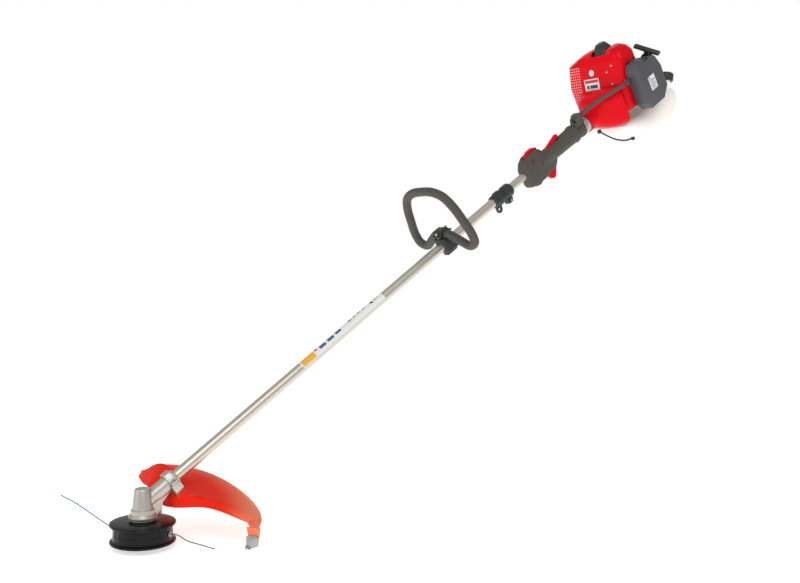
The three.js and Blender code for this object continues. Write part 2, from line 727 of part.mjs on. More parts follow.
function loopClampBolt(side) {
  return turnedZ([[0, 20.6], [2.4, 20.6], [2.4, 33.6], [4.4, 33.6], [4.4, 37.5], [0, 37.5]], 6)
    .translate(LOOP_AT + side * 17, 0, 0);
}
const loopBoltHole = (side) => rodZ(20, 36, 2.4 + SEAT, 12).translate(LOOP_AT + side * 17, 0, 0);
const loopBoltRecess = (side) => rodZ(33.3, 50, 5.2, 12).translate(LOOP_AT + side * 17, 0, 0);

// ---- Harness clamp ---------------------------------------------------------------

const EYE_DROP = 26;
function harnessClamp() {
  const start = TUBE_JOINT - 8;
  const body = turnedX([[start, 0], [start, 15.5], [start + 5, 16.5], [start + 16, 16.5],
    [start + 18, HARNESS_R],
    [start + 32, HARNESS_R], [start + 34, 16.5], [start + 44, 16.5], [start + 46, HARNESS_R - 0.5],
    [start + 66, HARNESS_R - 0.5], [start + 70, 16], [start + 70, 0]], 16);
  const tab = plateXZ([[0, -8], [0, -EYE_DROP - 4], [5, -EYE_DROP - 9], [13, -EYE_DROP - 9],
    [18, -EYE_DROP - 4],
    [22, -8]], -3, 3).translate(start + 2, 0, 0);
  const lug = plateXZ([[0, -8], [2, -30], [18, -30], [24, -8]], -8, 8).translate(start + 42, 0, 0);
  const eye = rodY(-10, 10, 4.6, 16).translate(start + 11, 0, -EYE_DROP);
  const bore = rodX(start - 10, start + 90, UPPER_TUBE_R + SEAT, 20);
  const step = rodX(start - 10, TUBE_JOINT + SEAT, LOWER_TUBE_R + SEAT, 20);
  const slit = block(start + 38, start + 80, -1, 1, -40, 0);
  const boltHole = rodY(-20, 20, 2.6 + SEAT, 12).translate(start + 53, 0, -23);
  return cut(join(body, tab, lug), bore, step, slit, boltHole, eye);
}

function harnessBolt() {
  const head = [[0, -12], [2.6, -12], [2.6, 8.4], [4.6, 8.4], [4.6, 12], [0, 12]];
  return turnedZ(head, 6).rotateX(Math.PI / 2).translate(TUBE_JOINT + 45, 0, -23);
}

// ---- Throttle handle -------------------------------------------------------------

const SWITCH_AT = 1316;

// Outer form of the closed handle: switch bulb, trigger bay and round grip.
function handleBody() {
  const bulb = plateXZ([[HANDLE_START, 2], [1265, -18], [1264, -28], [1268, -37], [1280, -39], [1286, -44],
    [1298, -46], [1308, -42], [1330, -42], [1350, -30], [1356, -6], [1354, 20], [1340, 38], [1318, 44],
    [1292, 42], [1274, 32], [1264, 18]], -BULB_HALF_WIDTH, BULB_HALF_WIDTH, 7, 2);
  const bay = plateXZ([[1330, -42], [1372, -38], [1384, -28], [1400, -10], [1400, 10], [1330, 20]],
    -13, 13, 5, 2);
  const grip = turnedX([[1330, 0], [1330, 20], [GRIP_START + 20, GRIP_R], [1440, GRIP_R + 1.5],
    [1478, GRIP_R + 2.5],
    [1484, GRIP_R + 5], [1490, GRIP_R + 5], [1494, GRIP_R + 2], [GRIP_END - 10, GRIP_R + 2],
    [GRIP_END - 8, GRIP_R + 4],
    [GRIP_END, GRIP_R + 4], [GRIP_END, 0]], 16);
  const exit = plateXZ([[1490, 16], [1498, 38], [1510, 46], [GRIP_END, 46], [GRIP_END, 16]], -27, 3, 3, 1);
  return join(bulb, bay, grip, exit);
}

// Spaces inside the handle: tube, trigger, lockout, switch and cable.
function handleRoom() {
  const tube = rodX(HANDLE_START - 20, GRIP_END + 20, UPPER_TUBE_R + SEAT, 24);
  const trigger = block(1330, 1402, -5.8, 5.8, -80, -11.6);
  const lockout = block(1364, 1434, -5.8, 5.8, 11.6, 60);
  const stop = block(SWITCH_AT - 30, SWITCH_AT + 34, -7, 7, 33, 80);
  return [tube, trigger, lockout, stop];
}

function handleShell(side) {
  const low = side > 0 ? SEAT / 2 : -80;
  const high = side > 0 ? 80 : -SEAT / 2;
  const half = keep(handleBody(), block(HANDLE_START - 40, GRIP_END + 40, low, high, -120, 120));
  return cut(half, ...handleRoom(), cableBore());
}

function throttleTrigger() {
  return plateXZ([[1336, -34], [1350, -58], [1362, -63], [1370, -58], [1380, -42], [1396, -26],
    [1397, -13.5],
    [1388, -13.5], [1372, -30], [1352, -33]], -5, 5, 1.5, 1);
}

function throttleLockout() {
  return plateXZ([[1367, 12.8], [1367, 19], [1376, 22], [1424, 35], [1430, 33], [1430, 26], [1424, 24],
    [1380, 12.8]],
    -5, 5, 1.5, 1);
}

function stopSwitch() {
  return plateXZ([[SWITCH_AT - 26, 34], [SWITCH_AT - 26, 42], [SWITCH_AT - 10, 49], [SWITCH_AT + 8, 50],
    [SWITCH_AT + 24, 44], [SWITCH_AT + 24, 34]], -6, 6, 1.5, 1);
}

// ---- Throttle cable --------------------------------------------------------------

const cableRoute = [V(1500, -14, 33), V(1530, -19, 39), V(1566, -40, 46), V(1606, -70, 52),
  V(1640, -91, 56),
  V(1665, -95, 56)];
const throttleConduit = () => rodAlong(cableRoute, CABLE_R, 8, 18);
const cableBore = () => rodAlong([V(1494, -13, 32), ...cableRoute.slice(0, 3)], CABLE_R + 1, 10, 12);

// ---- Clutch, crank and crankcase -------------------------------------------------

const damperRing = () => turnedX([[GRIP_END + 1, UPPER_TUBE_R + SEAT], [GRIP_END + 1, 20],
  [GRIP_END + 4, 24],
  [GRIP_END + 9, 24], [GRIP_END + 10, 21.5], [GRIP_END + 14, 21.5], [GRIP_END + 15, 24.5],
  [GRIP_END + 20, 24.5],
  [HOUSING_START - 1, 22], [HOUSING_START - 1, UPPER_TUBE_R + SEAT],
  [GRIP_END + 1, UPPER_TUBE_R + SEAT]], 20);

function clutchDrum() {
  const wall = 2;
  const end = DRUM_START + 30;
  return turnedX([[DRUM_START, DRIVE_R + SEAT], [DRUM_START, 7], [DRUM_START + 7, 7],
    [DRUM_START + 8, CLUTCH_R],
    [end, CLUTCH_R], [end, CLUTCH_R - wall], [DRUM_START + 10, CLUTCH_R - wall],
    [DRUM_START + 10, DRIVE_R + SEAT],
    [DRUM_START, DRIVE_R + SEAT]], 18);
}

// Two centrifugal shoes on a carrier at the crank's end.
function clutchRotor() {
  const start = DRUM_START + 13;
  const disc = ringX(start, start + 14, CRANK_R + SEAT, SHOE_R, 20);
  const slot = block(start - 5, start + 20, -1.6, 1.6, 8, 40);
  const slotBelow = block(start - 5, start + 20, -1.6, 1.6, -40, -8);
  return cut(disc, slot, slotBelow);
}

function crankshaft() {
  const start = DRUM_START + 12;
  const web = 23;
  return turnedX([[start, 0], [start, CRANK_R], [CASE_START + 14, CRANK_R], [CASE_START + 14, web],
    [CASE_START + 26, web], [CASE_START + 26, 8], [CASE_START + 36, 8], [CASE_START + 36, web],
    [CASE_START + 48, web], [CASE_START + 48, CRANK_R], [CASE_START + CASE_LENGTH + 42, CRANK_R],
    [CASE_START + CASE_LENGTH + 42, 0]], 14);
}

// Flywheel with cooling vanes on its front face.
function flywheel() {
  const hub = turnedX([[FLYWHEEL_AT, CRANK_R + SEAT], [FLYWHEEL_AT, 14], [FLYWHEEL_AT + 6, 16],
    [FLYWHEEL_AT + 8, FLYWHEEL_R],
    [FLYWHEEL_AT + 20, FLYWHEEL_R], [FLYWHEEL_AT + 20, 34], [FLYWHEEL_AT + 14, 32], [FLYWHEEL_AT + 14, 14],
    [FLYWHEEL_AT + 22, 12], [FLYWHEEL_AT + 22, CRANK_R + SEAT], [FLYWHEEL_AT, CRANK_R + SEAT]], 18);
  const vanes = [];
  const count = 10;
  for (let i = 0; i < count; i++) {
    vanes.push(block(FLYWHEEL_AT - 3, FLYWHEEL_AT + 9, -1.2, 1.2, 20, 43).rotateX(i * 2 * Math.PI / count));
  }
  return join(hub, ...vanes);
}

// Fan housing: a round neck over the clutch that opens out to the engine's front.
function clutchHousing() {
  const h = HOUSING_HALF;
  const outer = [ringYZ(HOUSING_START, -HOUSING_R + 1, HOUSING_R - 1, -HOUSING_R + 1, HOUSING_R - 1, 40, 4),
    ringYZ(1574, -HOUSING_R - 1, HOUSING_R + 1, -HOUSING_R - 1, HOUSING_R + 1, 40, 4),
    ringYZ(1588, 40 - h, h - 42, -36, 42, 38, 4), ringYZ(1600, 24 - h, h - 28, -44, 56, 40, 4),
    ringYZ(1616, 10 - h, h - 18, -52, 62, 36, 4), ringYZ(HOUSING_END, -h, h - 10, -56, 66, 30, 4)];
  const w = HOUSING_WALL;
  const inner = [ringYZ(DRUM_START - 2, -25.5, 25.5, -25.5, 25.5, 40, 4),
    ringYZ(1584, -26, 26, -26, 26, 40, 4),
    ringYZ(1592, -42, 42, -36 + w, 42, 38, 4), ringYZ(1600, 24 - h + w, h - 28 - w, -48 + w, 54 - w, 46, 4),
    ringYZ(1616, 10 - h + w, h - 18 - w, -52 + w, 62 - w, 36, 4),
    ringYZ(HOUSING_END + 5, -h + w, h - 10 - w, -56 + w, 66 - w, 30, 4)];
  return cut(loft(outer), loft(inner), rodX(HOUSING_START - 5, DRUM_START + 5, UPPER_TUBE_R + 3, 20));
}

function crankcase() {
  const end = CASE_START + CASE_LENGTH;
  const shell = turnedX([[CASE_START - 8, 0], [CASE_START - 8, 16], [CASE_START, 18],
    [CASE_START, CASE_R], [end, CASE_R],
    [end, 18], [end + 8, 16], [end + 8, 0]], 18);
  const deck = block(CYLINDER_AT - 28, CYLINDER_AT + 24, -28, 28, 10, DECK_Z);
  const flange = ringX(CASE_START - 2, CASE_START + 6, 20, 44, 18);
  const room = rodX(CASE_START + 10, end - 10, 26, 14);
  const bore = rodX(CASE_START - 20, end + 20, CRANK_R + RUN, 14);
  return cut(join(shell, deck, flange), room, bore);
}

function cylinder() {
  const base = DECK_Z + SEAT;
  const pitch = FIN_PITCH;
  const points = [[0, base], [30, base], [30, base + 5]];
  for (let i = 0; i < FIN_COUNT; i++) {
    const z = base + 9 + i * pitch;
    const r = i < 2 ? FIN_R - 6 : FIN_R;
    points.push([24, z], [r, z], [r, z + 3], [24, z + 3]);
  }
  const top = base + 9 + FIN_COUNT * pitch;
  points.push([22, top], [9, top + 3], [0, top + 3]);
  const barrel = turnedZ(points, 10).translate(CYLINDER_AT, 0, 0);
  const intake = block(CYLINDER_AT - 14, CYLINDER_AT + 14, -44, -18, 52, 76);
  const exhaust = block(CYLINDER_AT - 14, CYLINDER_AT + 14, 18, 47, 52, 76);
  const plug = rodZ(top, top + 16, 7, 10).translate(PLUG_AT, 0, 0);
  return join(barrel, intake, exhaust, plug);
}

// ---- Engine cover ----------------------------------------------------------------

// Height levels of the cover: front, rear, right (-y) and left (+y) faces and the corner radius.
const coverLevels = [
  [-26, 1642, COVER_REAR, -76, 96, 30], [0, 1642, COVER_REAR, -83, 110, 28],
  [60, 1652, COVER_REAR, -85, 116, 26],
  [116, 1674, COVER_REAR, -84, 112, 24], [134, 1684, COVER_REAR - 8, -76, 72, 22],
  [144, 1694, COVER_REAR - 18, -60, 34, 18],
];

function coverSkin(inset, lowest) {
  return coverLevels.map(([z, x0, x1, y0, y1, r], i) => {
    const level = i === 0 ? lowest : i === coverLevels.length - 1 ? z - inset : z;
    return ringXY(level, x0 + inset, x1 - inset, y0 + inset, y1 - inset, r, 3);
  });
}

function engineCover() {
  const shell = cut(loft(coverSkin(0, coverLevels[0][0])), loft(coverSkin(COVER_WALL, -60)));
  const tools = [];
  // Perforated field over the silencer, on the front's left half.
  const columns = 4;
  const rows = 6;
  for (let i = 0; i < columns; i++) {
    for (let j = 0; j < rows; j++) {
      const y = 66 + i * 10 + (j % 2) * 4;
      tools.push(rodX(1636, 1694, 2.4, 4).translate(0, y, 10 + j * 16));
    }
  }
  // Window on the carburettor side and bay for the plug cap.
  tools.push(block(CYLINDER_AT - 22, CYLINDER_AT + 24, -110, -70, 4, 96));
  tools.push(block(CYLINDER_AT - 12, COVER_REAR - 4, -17, 17, 118, 170));
  // Front and rear openings round the crankcase and the starter's shaft.
  tools.push(rodX(1600, CASE_START + 10, 50, 20));
  tools.push(rodX(COVER_REAR - 20, COVER_REAR + 20, 40, 20));
  return cut(shell, ...tools);
}

function plugCap() {
  const base = DECK_Z + SEAT + 9 + FIN_COUNT * FIN_PITCH + 3.6;
  const x = PLUG_AT;
  const body = turnedZ([[7 + SEAT, base], [12, base], [13, base + 14], [12, base + 30], [9, base + 37],
    [0, base + 38],
    [0, base + 14], [7 + SEAT, base + 14], [7 + SEAT, base]], 12).translate(x, 0, 0);
  const lead = plateXZ([[-14, base + 20], [-16, base + 27], [-8, base + 36], [4, base + 38],
    [4, base + 20]],
    -8, 8, 2, 1).translate(x, 0, 0);
  const terminal = rodZ(base - 5, base + 14, 7 + SEAT, 12).translate(x, 0, 0);
  return cut(join(body, lead), terminal);
}

const silencer = () => loft([ringYZ(CYLINDER_AT - 34, 52, 84, 28, 86, 9, 2),
  ringYZ(CYLINDER_AT - 28, 47.5, 91, 20, 94, 9, 2),
  ringYZ(CYLINDER_AT + 24, 47.5, 91, 20, 94, 9, 2), ringYZ(CYLINDER_AT + 30, 52, 84, 28, 86, 9, 2)]);

// ---- Carburettor and air filter --------------------------------------------------

const CARB_Z = 64;
function carburettor() {
  const body = block(CYLINDER_AT - 17, CYLINDER_AT + 17, -72, -44 - SEAT, CARB_Z - 17, CARB_Z + 17);
  const throat = rodY(-80, -60, 12, 16).translate(CYLINDER_AT, 0, CARB_Z);
  const bowl = rodZ(CARB_Z - 24, CARB_Z - 10, 12, 16).translate(CYLINDER_AT, -58, 0);
  const bore = rodY(-100, -50, 7, 16).translate(CYLINDER_AT, 0, CARB_Z);
  return cut(join(body, throat, bowl), bore);
}

function filterCover() {
  const face = FILTER_FACE;
  const side = [[FILTER_X0, -18], [FILTER_X0 + 14, -40], [FILTER_X1 - 32, -40], [FILTER_X1 - 2, -14],
    [FILTER_X1, 46],
    [FILTER_X1 - 12, 80], [FILTER_X0 + 46, 98], [FILTER_X0 + 14, 94], [FILTER_X0 + 2, 78]];
  const body = plateXZ(side, face, FILTER_BACK, 5, 2);
  const latch = block(FILTER_X0 + 40, FILTER_X0 + 64, face - 5, face + 12, 84, 120);
  const room = block(FILTER_X0 + 14, FILTER_X1 - 16, face + 4, -70, -26, 70);
  return cut(body, latch, room);
}

const CHOKE_PIVOT = [FILTER_X1 - 34, 0, -22];
const chokeLever = () => join(rodY(-85, -79, 6, 12),
  block(-4, 4, -84, -80, -34, 0)).translate(...CHOKE_PIVOT);

const primerBulb = () => turnedZ([[0, -12], [5, -11], [8, -8], [9, -4], [9, 0], [0, 0]], 16)
  .translate(CYLINDER_AT, -58, CARB_Z - 24 - SEAT);

// ---- Recoil starter --------------------------------------------------------------

const STARTER_START = COVER_REAR + 1;

// Rope guide that the T handle rests on, leaning towards the carburettor's side.
const PULL = { x: STARTER_START + 37, y: -80, z: 76, lean: 27 };
const alongPull = (g) => g.rotateX(PULL.lean * RAD).translate(PULL.x, PULL.y, PULL.z);

function starterHousing() {
  const dish = turnedX([[STARTER_START, CRANK_R + 6], [STARTER_START, STARTER_R],
    [STARTER_START + 12, STARTER_R],
    [STARTER_START + 22, STARTER_R - 8], [STARTER_START + STARTER_DEPTH, STARTER_R - 22],
    [STARTER_START + STARTER_DEPTH, 0],
    [STARTER_START + 24, 0], [STARTER_START + 24, CRANK_R + 6], [STARTER_START, CRANK_R + 6]], 22);
  const tower = alongPull(plateYZ([[-10, -94], [-12, -8], [-9, 0], [11, 0], [14, -8], [26, -94]],
    -14, 14, 3, 1));
  const guide = alongPull(rodZ(-14, 10, 5 + SEAT, 12));
  const cordRoom = alongPull(rodZ(-30, 10, 2.6, 10));
  const crankRoom = rodX(STARTER_START - 10, STARTER_START + 20, CRANK_R + 6, 20);
  const slots = [];
  for (let i = 0; i < 8; i++) {
    slots.push(block(STARTER_START + 8, STARTER_START + 60, -2.4, 2.4, 24,
      46).rotateX((70 + i * 30) * RAD));
  }
  const trough = slots.map((s) => keep(s, block(STARTER_START + 20, STARTER_START + 60, -90, 90, -90, 90)));
  return cut(join(dish, tower), guide, cordRoom, crankRoom, ...trough);
}

// T handle resting on the tower, with the cord's knot stem reaching into the guide.
function starterHandle() {
  const bar = rodY(-38, 38, 7.6, 12).scale(1.15, 1, 0.85);
  const collar = rodZ(-14, 2, 8, 12);
  const stem = rodZ(-24, 2, 5, 12);
  const cord = rodZ(-38, -22, 1.8, 8);
  return alongPull(join(bar, collar, stem, cord).translate(0, 0, 14 + SEAT));
}

// ---- Fuel tank -------------------------------------------------------------------

function fuelTank() {
  const w = TANK_HALF;
  const top = TANK_TOP;
  const low = TANK_TOP - TANK_DEPTH;
  const body = loft([
    ringYZ(TANK_START, 32 - w, w - 32, top - 16, top, 12, 3),
    ringYZ(TANK_START + 18, 12 - w, w - 14, top - 36, top, 18, 3),
    ringYZ(TANK_START + 56, 2 - w, w - 4, low + 18, top, 28, 3),
    ringYZ(TANK_START + 116, -w, w, low + 4, top - 2, 34, 3),
    ringYZ(TANK_END - 80, -w, w, low, top - 2, 34, 3),
    ringYZ(TANK_END - 30, 6 - w, w - 4, low + 14, top, 34, 3),
    ringYZ(TANK_END, 20 - w, w - 20, low + 38, top - 6, 20, 3),
  ]);
  return join(body, fillerNeck(13, 22));
}

const FILLER = { x: 1868, y: -36, z: -66, tilt: 44 };
const fillerNeck = (radius, height) => rodZ(-20, height, radius, 16)
  .rotateY(FILLER.tilt * RAD).translate(FILLER.x, FILLER.y, FILLER.z);

const capProfile = [[0, 22 + SEAT], [CAP_R - 1, 22 + SEAT], [CAP_R, 25], [CAP_R, 42], [CAP_R - 3, 46],
  [0, 46]];
function fuelCap() {
  const cap = turnedZ(capProfile, 16);
  const grooves = [];
  for (let i = 0; i < 8; i++) grooves.push(rodZ(20, 50, 2.4, 6).translate(CAP_R + 1, 0,
    0).rotateZ(i * Math.PI / 4));
  return cut(cap, ...grooves).rotateY(FILLER.tilt * RAD).translate(FILLER.x, FILLER.y, FILLER.z);
}

// Wire foot under the fan housing and the tank's front.
function supportFoot() {
  const wire = rodAlong([V(1590.4, 0, -51.4), V(1612, 0, -76), V(1640, 0, -103), V(1672, 0, -124),
    V(1700, 0, -134)], FOOT_WIRE_R, 8, 10);
  const eye = (x, z) => cut(rodY(-3, 3, 6, 10), rodY(-6, 6, FOOT_WIRE_R, 8)).translate(x, 0, z);
  return join(wire, eye(1587.5, -48), eye(1705, -135.5));
}

// ---- Assembly --------------------------------------------------------------------

add(group, 'bump_knob', bumpKnob(), material.black);
add(group, 'line_spool', lineSpool(), material.black);
add(group, 'bump_spring', bumpSpring(), material.spring);
add(group, 'head_base', headBase(), material.black);
add(group, 'head_cover', headCover(), material.black);
add(group, 'line_eyelet_left', lineEyelet(exitAngles[0]), material.steel);
add(group, 'line_eyelet_right', lineEyelet(exitAngles[1]), material.steel);
for (const [name, points] of Object.entries(linePaths)) add(group, name, rodAlong(points, LINE_R, 8,
  24), material.green);
add(group, 'output_spindle', outputSpindle(), material.steel);
add(group, 'blade_flange', bladeFlange(), material.cast);
add(group, 'driven_gear', drivenGear(), material.steel);
add(group, 'spindle_bearing', spindleBearing(), material.steel);
add(group, 'gear_case', gearCase(), material.cast);
add(group, 'guard_shell', guardShell(), material.orange);
add(group, 'line_cutter', lineCutter(), material.steel);

add(shaft, 'bevel_pinion', bevelPinion(), material.steel);
add(shaft, 'guard_bracket', guardBracket(), material.cast);
add(shaft, 'guard_strap', guardStrap(), material.cast);
add(shaft, 'guard_bolt_left', guardBolt(1), material.steel);
add(shaft, 'guard_bolt_right', guardBolt(-1), material.steel);
add(shaft, 'lower_tube', lowerTube(), material.alloy);
add(shaft, 'upper_tube', upperTube(), material.alloy);
add(shaft, 'drive_shaft', driveShaft(), material.steel);
BUSH_AT.forEach((at, i) => add(shaft, `shaft_bush_${i + 1}`, shaftBush(at), material.bush));
add(shaft, 'loop_handle', loopHandle(), material.darkGrip);
const loopHoles = [loopBoltHole(-1), loopBoltHole(1)];
add(shaft, 'loop_clamp_base', cut(loopClampBase(), ...loopHoles), material.clamp);
add(shaft, 'loop_clamp_cap', cut(loopClampCap(), ...loopHoles, loopBoltRecess(-1), loopBoltRecess(1)),
  material.clamp);
add(shaft, 'loop_clamp_bolt_front', loopClampBolt(-1), material.steel);
add(shaft, 'loop_clamp_bolt_rear', loopClampBolt(1), material.steel);
add(shaft, 'harness_clamp', harnessClamp(), material.clamp);
add(shaft, 'harness_bolt', harnessBolt(), material.steel);
add(shaft, 'handle_shell_left', handleShell(1), material.darkGrip);
add(shaft, 'handle_shell_right', handleShell(-1), material.darkGrip);
add(shaft, 'throttle_trigger', throttleTrigger(), material.red);
add(shaft, 'throttle_lockout', throttleLockout(), material.red);
add(shaft, 'stop_switch', stopSwitch(), material.red);
add(shaft, 'throttle_conduit', throttleConduit(), material.darkGrip);
add(shaft, 'damper_ring', damperRing(), material.cast);
add(shaft, 'clutch_drum', clutchDrum(), material.steel);
add(shaft, 'clutch_rotor', clutchRotor(), material.cast);
add(shaft, 'crankshaft', crankshaft(), material.steel);
add(shaft, 'flywheel', flywheel(), material.cast);
add(shaft, 'clutch_housing', clutchHousing(), material.red);
add(shaft, 'crankcase', crankcase(), material.cast);
add(shaft, 'cylinder', cylinder(), material.castDark);
add(shaft, 'engine_cover', engineCover(), material.red);
add(shaft, 'plug_cap', plugCap(), material.olive);
add(shaft, 'silencer', silencer(), material.castDark);
add(shaft, 'carburettor', carburettor(), material.cast);
add(shaft, 'air_filter_cover', filterCover(), material.slate);
add(shaft, 'choke_lever', chokeLever(), material.olive);
add(shaft, 'primer_bulb', primerBulb(), material.tank);
add(shaft, 'starter_housing', starterHousing(), material.black);
add(shaft, 'starter_handle', starterHandle(), material.olive);
add(shaft, 'fuel_tank', fuelTank(), material.tank);
add(shaft, 'fuel_cap', fuelCap(), material.olive);
add(shaft, 'support_foot', supportFoot(), material.steel);

export default group;
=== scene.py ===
"""Looks of the petrol string trimmer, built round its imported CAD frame. Metres, +Z up."""

import json
import math

import bmesh
import bpy
from mathutils import Matrix, Vector, noise


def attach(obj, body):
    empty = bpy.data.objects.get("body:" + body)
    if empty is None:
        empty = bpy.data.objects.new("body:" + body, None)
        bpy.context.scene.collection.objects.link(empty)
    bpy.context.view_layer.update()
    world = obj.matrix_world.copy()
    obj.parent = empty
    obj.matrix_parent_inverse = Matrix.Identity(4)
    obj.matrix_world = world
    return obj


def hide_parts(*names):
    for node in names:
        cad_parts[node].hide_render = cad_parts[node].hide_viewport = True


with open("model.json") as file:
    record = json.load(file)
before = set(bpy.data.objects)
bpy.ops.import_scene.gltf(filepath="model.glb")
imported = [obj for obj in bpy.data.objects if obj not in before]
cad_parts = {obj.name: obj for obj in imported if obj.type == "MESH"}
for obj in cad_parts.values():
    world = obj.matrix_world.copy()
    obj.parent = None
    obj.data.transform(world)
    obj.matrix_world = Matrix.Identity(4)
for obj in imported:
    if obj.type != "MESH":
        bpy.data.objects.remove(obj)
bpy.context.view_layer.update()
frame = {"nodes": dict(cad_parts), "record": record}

MM = 0.001
RISE = math.radians(34)
SHAFT = Matrix.Translation((0, 0, 84 * MM)) @ Matrix.Rotation(-RISE, 4, "Y")
ROW = Matrix.Identity(4)


# ---- Camera ------------------------------------------------------------------------

def place_camera():
    data = bpy.data.cameras.new("camera")
    data.lens = 42.75
    data.sensor_width = 36
    data.clip_start = 0.05
    data.clip_end = 60
    camera = bpy.data.objects.new("camera", data)
    bpy.context.scene.collection.objects.link(camera)
    yaw, pitch, roll = math.radians(37.52), math.radians(2.64), math.radians(0.55)
    forward = Vector((math.sin(yaw) * math.cos(pitch), math.cos(yaw) * math.cos(pitch), -math.sin(pitch)))
    right = Vector((math.cos(yaw), -math.sin(yaw), 0))
    up = right.cross(forward)
    turned_right = right * math.cos(roll) + up * math.sin(roll)
    turned_up = up * math.cos(roll) - right * math.sin(roll)
    basis = Matrix((turned_right, turned_up, -forward)).transposed()
    camera.matrix_world = Matrix.Translation((-0.7366, -1.7946, 0.6005)) @ basis.to_4x4()
    bpy.context.scene.camera = camera


place_camera()


# ---- Curves and mesh building --------------------------------------------------------

def centripetal(points, steps, closed=False):
    """Evenly stepped points of a centripetal Catmull-Rom curve through the given ones."""
    p = [Vector(q) for q in points]
    n = len(p)
    spans = n if closed else n - 1
    out = []
    for i in range(steps if closed else steps + 1):
        u = i / steps * spans
        k = min(int(u), spans - 1)
        t = u - k
        p1, p2 = p[k % n], p[(k + 1) % n]
        p0 = p[(k - 1) % n] if closed or k > 0 else p1 * 2 - p2
        p3 = p[(k + 2) % n] if closed or k + 2 < n else p2 * 2 - p1
        d0, d1, d2 = ((b - a).length ** 0.5 or 1e-6 for a, b in ((p0, p1), (p1, p2), (p2, p3)))
        m1 = ((p1 - p0) / d0 - (p2 - p0) / (d0 + d1) + (p2 - p1) / d1) * d1
        m2 = ((p2 - p1) / d1 - (p3 - p1) / (d1 + d2) + (p3 - p2) / d2) * d1
        a = p1 * 2 - p2 * 2 + m1 + m2
        b = p2 * 3 - p1 * 3 - m1 * 2 - m2
        out.append(a * t ** 3 + b * t ** 2 + m1 * t + p1)
    return out


def new_object(name, verts, faces, space=ROW):
    """Mesh object from points in millimetres of the given space, with its faces turned outwards."""
    mesh = bpy.data.meshes.new(name)
    mesh.from_pydata([space @ (Vector(v) * MM) for v in verts], [], faces)
    bm = bmesh.new()
    bm.from_mesh(mesh)
    bmesh.ops.remove_doubles(bm, verts=bm.verts, dist=1e-7)
    bmesh.ops.recalc_face_normals(bm, faces=bm.faces)
    bm.to_mesh(mesh)
    bm.free()
    piece = bpy.data.objects.new(name, mesh)
    bpy.context.scene.collection.objects.link(piece)
    return piece


def lathe(name, profile, segments, space=ROW, along="Z"):
    """Revolve of (radius, place) points about the space's Z or X axis."""
    verts, faces = [], []
    n = len(profile)
    for i in range(segments):
        a = 2 * math.pi * i / segments
        for r, z in profile:
            verts.append((r * math.cos(a), r * math.sin(a), z) if along == "Z"
                         else (z, r * math.cos(a), r * math.sin(a)))
    loop = profile[0] == profile[-1]
    for i in range(segments):
        j = (i + 1) % segments
        for k in range(n - 1):
            faces.append((i * n + k, j * n + k, j * n + k + 1, i * n + k + 1))
    piece = new_object(name, verts, faces, space)
    if not loop:
        bm = bmesh.new()
        bm.from_mesh(piece.data)
        bmesh.ops.holes_fill(bm, edges=bm.edges)
        bmesh.ops.recalc_face_normals(bm, faces=bm.faces)
        bm.to_mesh(piece.data)
        bm.free()
    return piece


def skin(name, rings, space=ROW, closed=False, ends=True):
    """Skin over rings of equal length, closed into itself or with capped ends."""
    n = len(rings[0])
    verts = [p for ring in rings for p in ring]
    faces = []
    count = len(rings)
    for k in range(count if closed else count - 1):
        m = (k + 1) % count
        for i in range(n):
            j = (i + 1) % n
            faces.append((k * n + i, k * n + j, m * n + j, m * n + i))
    if not closed and ends:
        faces.append(tuple(range(n)))
        faces.append(tuple(range((count - 1) * n, count * n)))
    return new_object(name, verts, faces, space)


def tube(name, centres, radius, sides, space=ROW, closed=False, flat=1.0):
    """Round or flattened bar along a list of centres, kept free of twist."""
    pts = [Vector(p) for p in centres]
    n = len(pts)
    rings = []
    normal = None
    for i, p in enumerate(pts):
        ahead = pts[(i + 1) % n] if closed or i + 1 < n else p
        behind = pts[(i - 1) % n] if closed or i > 0 else p
        tangent = (ahead - behind).normalized()
        if normal is None:
            normal = tangent.orthogonal().normalized()
        normal = (normal - tangent * normal.dot(tangent)).normalized()
        side = tangent.cross(normal)
        r = radius(i / n) if callable(radius) else radius
        rings.append([p + normal * (r * math.cos(a)) + side * (r * flat * math.sin(a))
                      for a in (2 * math.pi * k / sides for k in range(sides))])
    return skin(name, rings, space, closed)


def rounded_rect(u0, u1, v0, v1, radius, steps=8):
    r = min(radius, (u1 - u0) / 2 - 0.01, (v1 - v0) / 2 - 0.01)
    corners = ((u1 - r, v1 - r, 0), (u0 + r, v1 - r, 90), (u0 + r, v0 + r, 180), (u1 - r, v0 + r, 270))
    return [(u + r * math.cos(math.radians(start + 90 * i / steps)),
             v + r * math.sin(math.radians(start + 90 * i / steps)))
            for u, v, start in corners for i in range(steps + 1)]


def with_modifiers(piece, *steps):
    """Applies (type, settings) modifiers to a piece by evaluating it into a plain mesh."""
    for kind, settings in steps:
        mod = piece.modifiers.new(kind.lower(), kind)
        for key, value in settings.items():
            setattr(mod, key, value)
    graph = bpy.context.evaluated_depsgraph_get()
    graph.update()
    mesh = bpy.data.meshes.new_from_object(piece.evaluated_get(graph))
    piece.modifiers.clear()
    old = piece.data
    piece.data = mesh
    bpy.data.meshes.remove(old)
    return piece


def shade(piece, degrees=38):
    for polygon in piece.data.polygons:
        polygon.use_smooth = True
    piece.data.set_sharp_from_angle(angle=math.radians(degrees))
    return piece


def bevelled(piece, width, segments=3, degrees=35):
    return with_modifiers(piece, ("BEVEL", {
        "width": width * MM, "segments": segments, "limit_method": "ANGLE",
        "angle_limit": math.radians(degrees), "use_clamp_overlap": True, "harden_normals": False,
    }))


def cut(piece, *cutters):
    result = with_modifiers(piece, *[("BOOLEAN", {"operation": "DIFFERENCE", "solver": "EXACT", "object": c})
                                     for c in cutters])
    for c in cutters:
        bpy.data.objects.remove(c, do_unlink=True)
    return result


